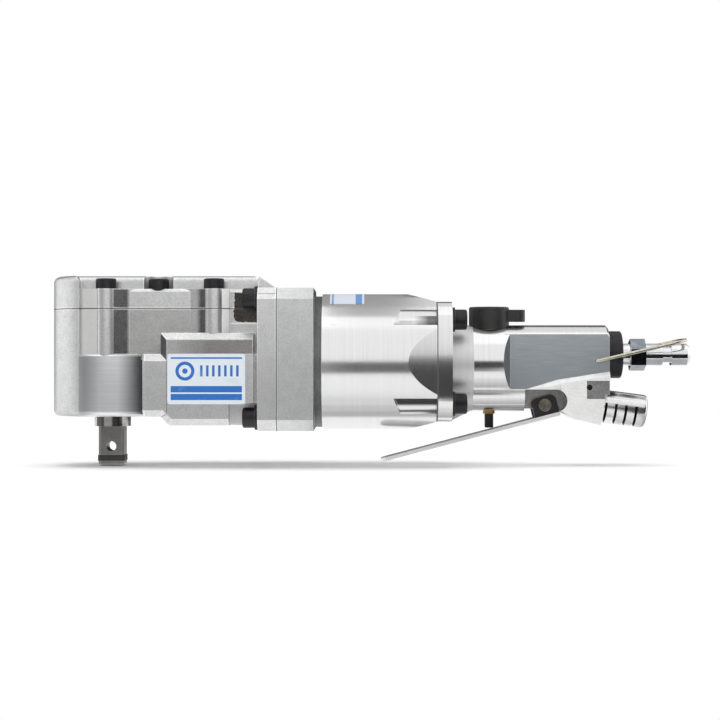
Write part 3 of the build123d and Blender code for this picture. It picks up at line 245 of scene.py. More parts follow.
# Blasted grain: fine pits over broad clouds.
pit_share, cloud_share, grain_floor = 2.0, 0.9, 0.95
blasted_grain, at, out = start_group("blasted grain", {"Pits": 1500.0, "Clouds": 55.0}, ["Height", "Tone"])
pits = noise(blasted_grain, own_place(blasted_grain), scale=at["Pits"], detail=2.0)
clouds = noise(blasted_grain, own_place(blasted_grain), scale=at["Clouds"], detail=4.0)
clouds = calculate(blasted_grain, "MULTIPLY", clouds, cloud_share)
mottled = calculate(blasted_grain, "MULTIPLY_ADD", pits, pit_share, clouds)
feed(blasted_grain, out["Height"], pits)
feed(blasted_grain, out["Tone"], calculate(blasted_grain, "SUBTRACT+", mottled, grain_floor))

# Tool lines: noise drawn out along one way of the piece, from the scale given for each axis.
tool_lines, at, out = start_group("tool lines", {"X": 30.0, "Y": 30.0, "Z": 30.0}, ["Height", "Tone"])
scales = tool_lines.nodes.new("ShaderNodeCombineXYZ")
for axis in "XYZ":
    feed(tool_lines, scales.inputs[axis], at[axis])
drawn_out = tool_lines.nodes.new("ShaderNodeVectorMath")
drawn_out.operation = "MULTIPLY"
feed(tool_lines, drawn_out.inputs[0], own_place(tool_lines))
feed(tool_lines, drawn_out.inputs[1], scales.outputs["Vector"])
fine_lines = noise(tool_lines, drawn_out.outputs["Vector"], scale=1.0, detail=3.0)
feed(tool_lines, out["Height"], fine_lines)
feed(tool_lines, out["Tone"], sharpen(tool_lines, fine_lines, gain=2.0, offset=-0.5))

face_slack = 0.0002
nose_radius, nose_slack = 0.029, 0.0004
nose_start, nose_top = -0.0131, 0.0545
nose_left_shade_full, nose_left_shade_clear = -0.0100, -0.0030
nose_lit, nose_dim = 0.0060, 0.0175
strip_sink, strip_right = 0.0012, -0.0040
wall_half, shoulder_half = 0.0235, 0.0270
flank_ends = (0.001, 0.999)
# Flanks with painted shade: foot and shoulder along X, then the shares of the rise where the painted shade
# begins and is full.
dark_flanks = ((0.0115, 0.0040, 0.0, 0.2), (0.0410, 0.0485, 0.40, 0.70))
bright_foot, bright_shoulder = 0.06024, 0.05649
bevel_shift, bevel_slack = 0.0013, 0.0001
bevel_left, bevel_right = 0.0269, 0.0303
flange_front = 0.0738
bolt_pocket_left, bolt_pocket_half, bolt_pocket_top = 0.0595, 0.0195, 0.0316
wall_shade_left, wall_shade_right, wall_shade_share = 0.0115, 0.0410, 0.5
block_half, block_shade_bottom = 0.0315, 0.0553
block_shade_clear, block_shade_full = 0.0200, 0.0500
bolt_shadow_left, bolt_shadow_right = 0.0620, 0.0739
bolt_shadow_bottom, bolt_shadow_top = 0.0708, 0.0850
ragged_width = 0.003


def on_strip(tree, place):
    """The sunk strip of the head's round, beside the first column, where light is painted."""
    round_wall = close_to(tree, distance(tree, place["X"], place["Y"]), nose_radius - strip_sink, face_slack)
    return overlap(tree, round_wall, between(tree, place["X"], nose_start, strip_right))


def on_flank(tree, place, foot, shoulder):
    """The share of the way up a column's sloping flank, and the mask of that flank."""
    rise = fade(tree, place["X"], foot, shoulder)
    side = calculate(tree, "ABSOLUTE", place["Y"])
    slope = close_to(tree, side, blend_values(tree, rise, wall_half, shoulder_half), face_slack)
    return rise, overlap(tree, slope, between(tree, rise, *flank_ends))


def on_bevel(tree, place):
    """The front bevel of the block that carries the plate."""
    side = calculate(tree, "ABSOLUTE", place["Y"])
    slope = close_to(tree, calculate(tree, "SUBTRACT", side, place["X"]), bevel_shift, bevel_slack)
    return overlap(tree, slope, between(tree, place["X"], bevel_left, bevel_right))


def turned_nose(tree, place, colour, rough, height):
    """Lays the turned nose over a casting's colour, roughness and relief, with a painted highlight between
    painted shade.
    """
    on_nose = close_to(tree, distance(tree, place["X"], place["Y"]), nose_radius, nose_slack)
    on_nose = overlap(tree, on_nose, over(tree, place["X"], nose_start), under(tree, place["Z"], nose_top))
    lines = place_group(tree, tool_lines, X=25.0, Y=25.0, Z=3200.0)
    turned = toned(tree, lines, turned_shade, turned_tone)
    # Painted shade darkens the nose towards its left end and at its right edge, leaving a painted highlight
    # between.
    turned = blend_colours(tree, fade(tree, place["X"], nose_left_shade_full, nose_left_shade_clear), nose_left_painted_shade, turned)
    turned = blend_colours(tree, fade(tree, place["X"], nose_lit, nose_dim), turned, nose_right_painted_shade)
    colour = blend_colours(tree, on_nose, colour, turned)
    rough = blend_values(tree, on_nose, rough, turned_rough)
    return colour, rough, blend_values(tree, on_nose, height, lines["Height"])


def in_painted_wall_shade(tree, place):
    """Painted shade on the recessed wall between the columns, and on the block's near face above the plate.
    """
    wall = close_to(tree, calculate(tree, "ABSOLUTE", place["Y"]), wall_half, face_slack)
    wall = overlap(tree, wall, between(tree, place["X"], wall_shade_left, wall_shade_right))
    block = close_to(tree, place["Y"], -block_half, face_slack)
    block = overlap(tree, block, over(tree, place["Z"], block_shade_bottom))
    block = overlap(tree, block, fade(tree, place["X"], block_shade_clear, block_shade_full))
    return calculate(tree, "MULTIPLY_ADD+", wall, wall_shade_share, block)


def in_bolt_pocket(tree, place):
    """The back walls of the pockets for the lower bolts."""
    wall = close_to(tree, calculate(tree, "ABSOLUTE", place["Y"]), bolt_pocket_half, face_slack)
    wall = overlap(tree, wall, between(tree, place["X"], bolt_pocket_left, flange_front))
    return overlap(tree, wall, under(tree, place["Z"], bolt_pocket_top))


def in_bolt_shadow(tree, place):
    """A painted shadow under the upper bolts, with a ragged edge that stops at the flange."""
    ragged = noise(tree, own_place(tree), scale=500.0)
    ragged_shift = calculate(tree, "MULTIPLY_ADD", ragged, ragged_width, -ragged_width / 2)
    along = between(tree, calculate(tree, "ADD", place["X"], ragged_shift), bolt_shadow_left, bolt_shadow_right)
    up = between(tree, calculate(tree, "ADD", place["Z"], ragged_shift), bolt_shadow_bottom, bolt_shadow_top)
    return overlap(tree, along, up, under(tree, place["X"], flange_front))


def cast_finish(name, is_case):
    """Blasted cast aluminium with painted shade and light; the case also has the turned nose, the painted
    wall shade and the painted light of its bolt pockets.
    """
    material, tree, shader = start_material(name)
    place = split_place(tree)
    grain = place_group(tree, blasted_grain, Pits=1500.0, Clouds=240.0)
    edges = place_group(tree, rubbed_edges, Width=0.0009, Gain=10.0)["Mask"]
    painted_shade = toned(tree, grain, painted_shade_low, painted_shade_tone)
    painted_light = toned(tree, grain, painted_light_low, painted_light_tone)
    rough = blend_values(tree, grain["Tone"], cast_rough, cast_smooth)
    height = grain["Height"]
    colour = toned(tree, grain, cast_shade, cast_tone)
    # Painted light makes the sunk strip pale and chalky.
    colour = blend_colours(tree, on_strip(tree, place), colour, painted_light)
    # Painted shade on the deep flanks of the columns.
    for foot, shoulder, clear, full in dark_flanks:
        rise, flank = on_flank(tree, place, foot, shoulder)
        colour = blend_colours(tree, overlap(tree, flank, fade(tree, rise, clear, full)), colour, painted_shade)
    # Painted light makes the right flank of the rear column pale and chalky.
    rise, painted_light_share = on_flank(tree, place, bright_foot, bright_shoulder)
    if is_case:
        # Painted shade on the block's front bevel.
        colour = blend_colours(tree, on_bevel(tree, place), colour, painted_shade)
        colour, rough, height = turned_nose(tree, place, colour, rough, height)
        # Painted shade on the recessed wall and on the block face above the plate, darker towards the flange.
        colour = blend_colours(tree, in_painted_wall_shade(tree, place), colour, toned(tree, grain, wall_shade_low, wall_shade_tone))
        # Painted light makes the back walls of the lower bolt pockets pale and chalky.
        painted_light_share = calculate(tree, "MAXIMUM", painted_light_share, in_bolt_pocket(tree, place))
    colour = blend_colours(tree, painted_light_share, colour, painted_light)
    rough = blend_values(tree, painted_light_share, rough, painted_light_rough)
    # A painted shadow under the upper bolts; the rubbed corners stay out of it.
    bolt_shadowed = in_bolt_shadow(tree, place)
    colour = blend_colours(tree, bolt_shadowed, colour, toned(tree, grain, bolt_shadow_low, bolt_shadow_tone))
    edges = calculate(tree, "SUBTRACT+", edges, bolt_shadowed)
    feed(tree, shader.inputs["Base Color"], blend_colours(tree, edges, colour, cast_bright))
    feed(tree, shader.inputs["Roughness"], blend_values(tree, edges, rough, rubbed_rough))
    feed(tree, shader.inputs["Normal"], bump(tree, height, depth=0.00006, strength=0.5))
    feed(tree, shader.inputs["Metallic"], blend_values(tree, painted_light_share, 1.0, painted_light_metal))
    return material


dress(cast_finish("cast case", True), "gear_case")
dress(cast_finish("cast cover", False), "gear_case_cover")


# Gaskets: thin dark fibre sheets punched to the outline of the joints they seal.
# Only their edges show, as hairlines between the castings.
gasket_dark = (0.06, 0.06, 0.06, 1.0)
gasket_pale = (0.16, 0.155, 0.15, 1.0)
fibre, tree, shader = start_material("gasket fibre")
weave = noise(tree, own_place(tree), scale=2600.0, detail=4.0)
feed(tree, shader.inputs["Base Color"], blend_colours(tree, weave, gasket_dark, gasket_pale))
feed(tree, shader.inputs["Normal"], bump(tree, weave, depth=0.00005))
shader.inputs["Roughness"].default_value = 0.9
dress(fibre, "cover_gasket", "motor_gasket", "handle_gasket")


# Screws, bolts, washers and small fittings: hardened steel with a black oxide finish.
# The keys that turn them have worn the rims of their heads to bare steel.
oxide_and_shade_black = (0.018, 0.018, 0.02, 1.0)
oxide_and_shade_grey = (0.05, 0.05, 0.054, 1.0)
oxide_worn = (0.30, 0.30, 0.30, 1.0)
rough_spread = 0.16


def oxide_finish(name, rough, wear, grip):
    """Black oxide steel; wear sets how far its corners are bare, grip the way its fine flutes run."""
    material, tree, shader = start_material(name)
    flutes = place_group(tree, tool_lines, X=grip[0], Y=grip[1], Z=grip[2])
    grain = place_group(tree, blasted_grain, Pits=2400.0, Clouds=160.0)
    edges = place_group(tree, rubbed_edges, Width=0.0003, Gain=wear)["Mask"]
    colour = toned(tree, grain, oxide_and_shade_black, oxide_and_shade_grey)
    feed(tree, shader.inputs["Base Color"], blend_colours(tree, edges, colour, oxide_worn))
    feed(tree, shader.inputs["Roughness"], blend_values(tree, grain["Tone"], rough, rough + rough_spread))
    feed(tree, shader.inputs["Normal"], bump(tree, flutes["Height"], depth=0.00025, strength=0.7))
    shader.inputs["Metallic"].default_value = 0.85
    return material


black_screws = oxide_finish("black screws", 0.30, 2.2, (1500.0, 1500.0, 60.0))
black_bolts = oxide_finish("black bolts", 0.30, 2.2, (60.0, 1500.0, 1500.0))
black_fittings = oxide_finish("black fittings", 0.36, 1.6, (900.0, 900.0, 900.0))
dress(black_screws, "cover_screws")
dress(black_bolts, "case_bolts", "case_washers", "handle_bolts", "handle_washers")
dress(black_fittings, "inlet_bush", "throttle_plunger", "tail_screw")


# Plate on the near side of the case: a printed foil stuck to the flat pad below the cover.
# It carries a plain pattern of its own, a rule, a ring, a row of ticks and a split band, with no words.
plate_white = (0.74, 0.80, 0.86, 1.0)
plate_blue = (0.012, 0.155, 0.54, 1.0)
plate_scuff = (0.52, 0.55, 0.58, 1.0)
plate_left, plate_right = 0.0306, 0.0682
plate_bottom, plate_top = 0.0308, 0.0551
ring_x, ring_z = plate_left + 0.0085, plate_bottom + 0.0160
ring_inner, ring_outer, dot_radius = 0.0030, 0.0046, 0.0013
tick_pitch, tick_share = 0.0029, 0.42
tick_left, tick_right = plate_left + 0.0155, plate_right - 0.0024
tick_bottom, tick_top = plate_bottom + 0.0134, plate_bottom + 0.0188
band_left, band_right = plate_left + 0.0016, plate_right - 0.0016
band_bottom, band_top = plate_bottom + 0.0020, plate_bottom + 0.0088
split_bottom, split_top = plate_bottom + 0.0050, plate_bottom + 0.0057
rule_bottom, rule_top = plate_top - 0.0024, plate_top - 0.0016


def stretched(tree, scale):
    """The piece's own coordinates, scaled differently along each axis."""
    node = tree.nodes.new("ShaderNodeMapping")
    feed(tree, node.inputs["Vector"], own_place(tree))
    node.inputs["Scale"].default_value = scale
    return node.outputs["Vector"]


def in_field(tree, place, left, right, bottom, top):
    """1 inside a rectangle as seen from the side."""
    return overlap(tree, between(tree, place["X"], left, right), between(tree, place["Z"], bottom, top))


foil, tree, shader = start_material("printed foil")
place = split_place(tree)
beside = calculate(tree, "SUBTRACT", place["X"], ring_x)
above = calculate(tree, "SUBTRACT", place["Z"], ring_z)
from_ring = distance(tree, beside, above)
phase = calculate(tree, "FRACT", calculate(tree, "MULTIPLY", place["X"], 1 / tick_pitch))
ticks = overlap(tree, under(tree, phase, tick_share),
                in_field(tree, place, tick_left, tick_right, tick_bottom, tick_top))
band = in_field(tree, place, band_left, band_right, band_bottom, band_top)
band = calculate(tree, "SUBTRACT+", band, between(tree, place["Z"], split_bottom, split_top))
printed = in_field(tree, place, band_left, band_right, rule_bottom, rule_top)
ring = between(tree, from_ring, ring_inner, ring_outer)
dot = under(tree, from_ring, dot_radius)
for mark in (ring, dot, ticks, band):
    printed = calculate(tree, "MAXIMUM", printed, mark)
scuffs = noise(tree, stretched(tree, (120.0, 120.0, 240.0)), scale=1.0, detail=4.0)
scuffs = sharpen(tree, scuffs, gain=1.6, offset=-0.92)
ink = blend_colours(tree, printed, plate_white, plate_blue)
feed(tree, shader.inputs["Base Color"], blend_colours(tree, scuffs, ink, plate_scuff))
feed(tree, shader.inputs["Roughness"], blend_values(tree, scuffs, 0.38, 0.55))
feed(tree, shader.inputs["Normal"], bump(tree, scuffs, depth=-0.00003, strength=0.4))
dress(foil, "case_plate")


# Anvil: one hardened steel forging with the square drive, darkened by its heat treatment.
# The collar above the square is coloured in six bright bands round it, dark between them.
steel_dark = (0.125, 0.12, 0.115, 1.0)
steel_grey = (0.22, 0.213, 0.205, 1.0)
steel_bare = (0.42, 0.42, 0.42, 1.0)
collar_tone = (0.86, 0.86, 0.86, 1.0)
collar_gap_tone = (0.09, 0.088, 0.085, 1.0)
square_top = 0.0193
band_count = 6
band_turn = math.radians(8.0)
forged, tree, shader = start_material("hardened drive")
grain = place_group(tree, blasted_grain, Pits=1900.0, Clouds=170.0)
lines = place_group(tree, tool_lines, X=40.0, Y=40.0, Z=5000.0)
edges = place_group(tree, rubbed_edges, Width=0.0006, Gain=4.0)["Mask"]
place = split_place(tree)
on_collar = over(tree, place["Z"], square_top)
turn = calculate(tree, "ARCTAN2", place["X"], calculate(tree, "MULTIPLY", place["Y"], -1.0))
turn = calculate(tree, "ADD", turn, band_turn)
wave = calculate(tree, "COSINE", calculate(tree, "MULTIPLY", turn, band_count))
collar_banded = toned(tree, lines, steel_bare, collar_tone)
collar_banded = blend_colours(tree, fade(tree, wave, clear=-0.1, full=0.5), collar_gap_tone, collar_banded)
colour = blend_colours(tree, edges, toned(tree, grain, steel_dark, steel_grey), steel_bare)
height = blend_values(tree, on_collar, grain["Height"], lines["Height"])
feed(tree, shader.inputs["Base Color"], blend_colours(tree, on_collar, colour, collar_banded))
feed(tree, shader.inputs["Roughness"], blend_values(tree, on_collar, 0.42, 0.14))
feed(tree, shader.inputs["Normal"], bump(tree, height, depth=0.00003, strength=0.5))
shader.inputs["Metallic"].default_value = 1.0
dress(forged, "anvil")


# Friction ring on the square, grease seal in the nose and throttle valve: moulded nitrile rubber.
# It is black, and dull from the fine pits of the mould.
rubber_black = (0.012, 0.012, 0.012, 1.0)
rubber_grey = (0.035, 0.035, 0.035, 1.0)
nitrile, tree, shader = start_material("nitrile rubber")
grain = place_group(tree, blasted_grain, Pits=3000.0, Clouds=240.0)
feed(tree, shader.inputs["Base Color"], toned(tree, grain, rubber_black, rubber_grey))
feed(tree, shader.inputs["Roughness"], blend_values(tree, grain["Tone"], 0.55, 0.72))
feed(tree, shader.inputs["Normal"], bump(tree, grain["Height"], depth=0.00003, strength=0.5))
dress(nitrile, "socket_ring", "anvil_seal", "throttle_valve")


# Bushes, reverse valve and inlet screen: turned bronze, with level marks of the lathe.
# They sit in bores of the castings and hardly show from outside.
bronze_tone = (0.62, 0.42, 0.20, 1.0)
bronze_shade = (0.40, 0.25, 0.10, 1.0)
bronze, tree, shader = start_material("turned bronze")
lines = place_group(tree, tool_lines, X=60.0, Y=60.0, Z=4200.0)
feed(tree, shader.inputs["Base Color"], toned(tree, lines, bronze_shade, bronze_tone))
feed(tree, shader.inputs["Roughness"], blend_values(tree, lines["Tone"], 0.38, 0.26))
feed(tree, shader.inputs["Normal"], bump(tree, lines["Height"], depth=0.00002, strength=0.5))
shader.inputs["Metallic"].default_value = 1.0
dress(bronze, "anvil_bush", "idler_bush", "reverse_bush", "reverse_valve", "throttle_bush", "inlet_screen")


# Hammers, cage, gears, shafts, bearings, pins and the motor's inner pieces: ground steel.
# All of it is inside the castings, under a film of oil.
ground_tone = (0.60, 0.60, 0.60, 1.0)
ground_shade = (0.40, 0.40, 0.41, 1.0)
oil_tint = (0.30, 0.27, 0.22, 1.0)
oiled, tree, shader = start_material("oiled steel")
lines = place_group(tree, tool_lines, X=900.0, Y=900.0, Z=260.0)
film = noise(tree, own_place(tree), scale=130.0, detail=3.0)
film = sharpen(tree, film, gain=3.0, offset=-1.5)
colour = toned(tree, lines, ground_shade, ground_tone)
feed(tree, shader.inputs["Base Color"], blend_colours(tree, film, colour, oil_tint))
feed(tree, shader.inputs["Roughness"], blend_values(tree, film, 0.34, 0.20))
feed(tree, shader.inputs["Normal"], bump(tree, lines["Height"], depth=0.00002, strength=0.4))
shader.inputs["Metallic"].default_value = 1.0
dress(oiled, "hammer_cage", "hammer_pins", "lower_hammer", "upper_hammer", "hammer_gear", "hammer_bearing",
      "idler_pin", "idler_gear", "gear_shaft", "drive_gear", "bevel_gear", "shaft_lower_bearing",
      "shaft_upper_bearing", "bevel_pinion", "pinion_bearing", "cylinder_liner", "liner_pin",
      "front_end_plate", "rear_end_plate", "front_motor_bearing", "rear_motor_bearing", "rotor")


# Vanes: six strips of brown resin laminate that slide in the rotor.
# The plies of the laminate show as fine lines along them.
resin_tone = (0.26, 0.13, 0.05, 1.0)
resin_shade = (0.15, 0.07, 0.025, 1.0)
laminate, tree, shader = start_material("resin laminate")
plies = place_group(tree, tool_lines, X=40.0, Y=2500.0, Z=900.0)
feed(tree, shader.inputs["Base Color"], toned(tree, plies, resin_shade, resin_tone))
feed(tree, shader.inputs["Normal"], bump(tree, plies["Height"], depth=0.00002, strength=0.4))
shader.inputs["Roughness"].default_value = 0.5
dress(laminate, "vanes")


# Motor housing: cast aluminium, with its round body turned and polished and its square flange left satin.
# Fine rings of the lathe run round the body. Painted shade darkens the groove behind the flange, the upper
# part of the lower bolt channels and the right end of the upper ones.
polished_tone = (0.84, 0.84, 0.83, 1.0)
polished_shade = (0.76, 0.765, 0.77, 1.0)
satin_tone = (0.66, 0.67, 0.67, 1.0)
scratch_tone = (0.52, 0.53, 0.54, 1.0)
housing_shade_tone = (0.21, 0.21, 0.21, 1.0)
housing_shade_low = (0.13, 0.13, 0.13, 1.0)
channel_shade_tone = (0.10, 0.10, 0.10, 1.0)
channel_shade_low = (0.045, 0.045, 0.045, 1.0)
polished_rough, polished_smooth = 0.22, 0.17
scratch_rough, satin_rough, groove_rough = 0.30, 0.42, 0.45
ring_relief = 0.25
flange_back, groove_right = 0.1009, 0.1050
channel_y, channel_radius, channel_slack = 0.02795, 0.0060, 0.0001
lower_channel_z, upper_channel_z = 0.02743, 0.07517
channel_left, channel_shade_clear, channel_shade_full = 0.1400, 0.0296, 0.0308
dim_left, dim_right, dim_top = 0.1500, 0.1570, 0.0736


def in_channel(tree, place, middle):
    """1 on the round walls of the bolt channels whose middle lies at one height."""
    beside = calculate(tree, "SUBTRACT", calculate(tree, "ABSOLUTE", place["Y"]), channel_y)
    above = calculate(tree, "SUBTRACT", place["Z"], middle)
    return close_to(tree, distance(tree, beside, above), channel_radius, channel_slack)


housing, tree, shader = start_material("polished housing")
place = split_place(tree)
rings = place_group(tree, tool_lines, X=4200.0, Y=14.0, Z=14.0)
grain = place_group(tree, blasted_grain, Pits=1300.0, Clouds=220.0)
edges = place_group(tree, rubbed_edges, Width=0.0006, Gain=5.0)["Mask"]
scratches = noise(tree, stretched(tree, (120.0, 900.0, 900.0)), scale=1.0, detail=4.0)
scratches = sharpen(tree, scratches, gain=8.0, offset=-5.5)
on_satin = under(tree, place["X"], flange_back)
in_groove = between(tree, place["X"], flange_back, groove_right)
channel_shade = overlap(tree, in_channel(tree, place, lower_channel_z), over(tree, place["X"], channel_left),
               fade(tree, place["Z"], channel_shade_clear, channel_shade_full))
dim = overlap(tree, in_channel(tree, place, upper_channel_z), fade(tree, place["X"], dim_left, dim_right),
              under(tree, place["Z"], dim_top))
housing_shade = toned(tree, grain, housing_shade_low, housing_shade_tone)
colour = blend_colours(tree, scratches, toned(tree, rings, polished_shade, polished_tone), scratch_tone)
colour = blend_colours(tree, on_satin, colour, toned(tree, grain, cast_shade, satin_tone))
# Painted shade in the groove behind the flange.
colour = blend_colours(tree, in_groove, colour, housing_shade)
# Painted shade on the upper part of the lower bolt channels.
colour = blend_colours(tree, channel_shade, colour, toned(tree, grain, channel_shade_low, channel_shade_tone))
# Painted shade on the lower part of the upper bolt channels, towards their right end.
colour = blend_colours(tree, dim, colour, housing_shade)
rough = blend_values(tree, rings["Tone"], polished_rough, polished_smooth)
rough = blend_values(tree, scratches, rough, scratch_rough)
rough = blend_values(tree, on_satin, rough, satin_rough)
height = calculate(tree, "MULTIPLY", rings["Height"], ring_relief)
height = blend_values(tree, on_satin, height, grain["Height"])
feed(tree, shader.inputs["Base Color"], blend_colours(tree, edges, colour, cast_bright))
feed(tree, shader.inputs["Roughness"], blend_values(tree, in_groove, rough, groove_rough))
feed(tree, shader.inputs["Normal"], bump(tree, height, depth=0.00003, strength=0.4))
shader.inputs["Metallic"].default_value = 1.0
dress(housing, "motor_housing")


# Sticker on top of the motor housing: a small printed film that follows the round body.
# Its plain blue and white fields hold no words.
film_white = (0.56, 0.60, 0.68, 1.0)
film_blue = (0.05, 0.20, 0.50, 1.0)
motor_axis, housing_radius = 0.0513, 0.03365
film_sink, film_lift, film_wear = 0.00006, 0.00012, 0.22
film_inner, film_outer = housing_radius - film_sink, housing_radius + film_lift
sticker_left, sticker_right = 0.1088, 0.1256
sticker_from, sticker_to = math.radians(57.0), math.radians(112.0)
sticker_steps = 14
rim_left, rim_right = sticker_left + 0.0010, sticker_left + 0.0018
field_left, field_right = sticker_right - 0.0042, sticker_right - 0.0010
printed_film, tree, shader = start_material("printed film")
place = split_place(tree)
rim = between(tree, place["X"], rim_left, rim_right)
field = calculate(tree, "MAXIMUM", rim, between(tree, place["X"], field_left, field_right))
haze = noise(tree, own_place(tree), scale=500.0, detail=3.0)
worn = calculate(tree, "MULTIPLY", haze, film_wear)
ink = blend_colours(tree, field, film_white, film_blue)
feed(tree, shader.inputs["Base Color"], blend_colours(tree, worn, ink, scratch_tone))
feed(tree, shader.inputs["Roughness"], blend_values(tree, haze, 0.30, 0.46))
feed(tree, shader.inputs["Normal"], bump(tree, haze, depth=0.00002, strength=0.3))

sticker = bmesh.new()
section = ((sticker_left, film_inner), (sticker_right, film_inner), (sticker_right, film_outer),
           (sticker_left, film_outer))
start_face = sticker.faces.new([sticker.verts.new((x, 0.0, motor_axis + reach)) for x, reach in section])
axis_point = (0.0, 0.0, motor_axis)
bmesh.ops.rotate(sticker, verts=sticker.verts, cent=axis_point,
                 matrix=Matrix.Rotation(math.pi / 2 - sticker_from, 3, "X"))
bmesh.ops.spin(sticker, geom=[start_face], cent=axis_point, axis=(1.0, 0.0, 0.0),
               angle=sticker_from - sticker_to, steps=sticker_steps, use_merge=False)
bmesh.ops.recalc_face_normals(sticker, faces=sticker.faces)
mesh = bpy.data.meshes.new("motor_sticker")
sticker.to_mesh(mesh)
sticker.free()
mesh.materials.append(printed_film)
piece = bpy.data.objects.new("motor_sticker", mesh)
bpy.context.scene.collection.objects.link(piece)
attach(piece, "casing")


# Handle: one aluminium casting. Its bosses are polished and its neck is satin, and the two flats of the
# grip are milled to a dull blue grey. The tail block behind the lever is blasted, and painted light makes it
# pale and chalky; painted shade darkens the pocket in it and the recess under it.
flat_tone = (0.47, 0.505, 0.535, 1.0)
flat_shade = (0.36, 0.39, 0.42, 1.0)
tail_painted_light_tone = (0.93, 0.93, 0.92, 1.0)
tail_painted_light_low = (0.78, 0.78, 0.78, 1.0)
pocket_painted_shade_tone = (0.44, 0.44, 0.44, 1.0)
pocket_painted_shade_low = (0.27, 0.27, 0.27, 1.0)
recess_painted_shade_tone = (0.46, 0.45, 0.44, 1.0)
recess_painted_shade_low = (0.30, 0.29, 0.28, 1.0)
boss_rough, neck_rough, tail_rough = 0.18, 0.55, 0.55
flat_rough, flat_smooth = 0.46, 0.38
tail_painted_light_metal = 0.35
neck_left, neck_right = 0.1686, 0.1795
flat_left, flat_half, flat_slack = 0.1946, 0.0122, 0.00012
tail_left, tail_top, tail_underside = 0.2052, 0.0464, 0.0376
pocket_left, pocket_half = 0.2353, 0.0129
pocket_bottom, pocket_top = 0.0329, 0.0419
recess_right, recess_half = 0.2260, 0.0118
grip_metal, tree, shader = start_material("handle casting")
place = split_place(tree)
side = calculate(tree, "ABSOLUTE", place["Y"])
rings = place_group(tree, tool_lines, X=2200.0, Y=14.0, Z=14.0)
grain = place_group(tree, blasted_grain, Pits=1500.0, Clouds=240.0)
milled = place_group(tree, tool_lines, X=90.0, Y=400.0, Z=2400.0)
edges = place_group(tree, rubbed_edges, Width=0.0006, Gain=5.0)["Mask"]
on_neck = between(tree, place["X"], neck_left, neck_right)
on_flat = overlap(tree, close_to(tree, side, flat_half, flat_slack), over(tree, place["X"], flat_left))
along_tail = over(tree, place["X"], tail_left)
below = overlap(tree, along_tail, under(tree, place["Z"], tail_underside))
on_tail = overlap(tree, along_tail, over(tree, side, flat_half + flat_slack),
                  under(tree, place["Z"], tail_top))
on_tail = calculate(tree, "MAXIMUM", on_tail, below)
in_pocket = overlap(tree, close_to(tree, side, pocket_half, flat_slack), over(tree, place["X"], pocket_left),
                    between(tree, place["Z"], pocket_bottom, pocket_top))
in_recess = overlap(tree, below, under(tree, side, recess_half), under(tree, place["X"], recess_right))
colour = toned(tree, rings, polished_shade, polished_tone)
# Painted light makes the tail block pale.
colour = blend_colours(tree, on_tail, colour, toned(tree, grain, tail_painted_light_low, tail_painted_light_tone))
# Painted shade darkens the pocket and the recess under the tail.
colour = blend_colours(tree, in_pocket, colour, toned(tree, grain, pocket_painted_shade_low, pocket_painted_shade_tone))
colour = blend_colours(tree, in_recess, colour, toned(tree, grain, recess_painted_shade_low, recess_painted_shade_tone))
colour = blend_colours(tree, on_flat, colour, toned(tree, milled, flat_shade, flat_tone))
rough = blend_values(tree, on_tail, blend_values(tree, on_neck, boss_rough, neck_rough), tail_rough)
rough = blend_values(tree, on_flat, rough, blend_values(tree, milled["Tone"], flat_rough, flat_smooth))
height = calculate(tree, "MULTIPLY", rings["Height"], ring_relief)
height = blend_values(tree, on_tail, height, grain["Height"])
height = blend_values(tree, on_flat, height, milled["Height"])
# Painted light: the tail block outside its pocket and recess is less metallic.
painted_light_share = calculate(tree, "SUBTRACT+", on_tail, calculate(tree, "ADD", in_pocket, in_recess))
feed(tree, shader.inputs["Base Color"], blend_colours(tree, edges, colour, cast_bright))
feed(tree, shader.inputs["Roughness"], rough)
feed(tree, shader.inputs["Normal"], bump(tree, height, depth=0.00003, strength=0.4))
feed(tree, shader.inputs["Metallic"], blend_values(tree, painted_light_share, 1.0, tail_painted_light_metal))
dress(grip_metal, "handle")


# Reverse knob: black moulded plastic with a finger tab.
# It is dull from the mould's fine spark finish, and use has greyed its rims a little.
knob_black = (0.008, 0.008, 0.009, 1.0)
knob_grey = (0.026, 0.026, 0.028, 1.0)
knob_worn = (0.11, 0.11, 0.11, 1.0)
moulded, tree, shader = start_material("moulded plastic")
grain = place_group(tree, blasted_grain, Pits=2600.0, Clouds=180.0)
edges = place_group(tree, rubbed_edges, Width=0.0005, Gain=1.4)["Mask"]
colour = toned(tree, grain, knob_black, knob_grey)
feed(tree, shader.inputs["Base Color"], blend_colours(tree, edges, colour, knob_worn))
feed(tree, shader.inputs["Roughness"], blend_values(tree, grain["Tone"], 0.38, 0.52))
feed(tree, shader.inputs["Normal"], bump(tree, grain["Height"], depth=0.00004, strength=0.5))
dress(moulded, "reverse_knob")


# Throttle lever: pressed from bright steel strip and brushed along its length. Its two ears
# on the pivot are painted black as painted shade.
lever_tone = (0.95, 0.95, 0.95, 1.0)
lever_shade = (0.84, 0.84, 0.85, 1.0)
pivot_x, pivot_z = 0.2152, 0.0298
ear_reach, ear_inner, ear_outer = 0.0084, 0.0052, 0.0070
brushed, tree, shader = start_material("brushed strip")
place = split_place(tree)
lines = place_group(tree, tool_lines, X=12.0, Y=1500.0, Z=12.0)
edges = place_group(tree, rubbed_edges, Width=0.0004, Gain=3.0)["Mask"]
along = calculate(tree, "SUBTRACT", place["X"], pivot_x)
above = calculate(tree, "SUBTRACT", place["Z"], pivot_z)
on_ear = overlap(tree, under(tree, distance(tree, along, above), ear_reach),
                 between(tree, calculate(tree, "ABSOLUTE", place["Y"]), ear_inner, ear_outer))
colour = blend_colours(tree, edges, toned(tree, lines, lever_shade, lever_tone), cast_bright)
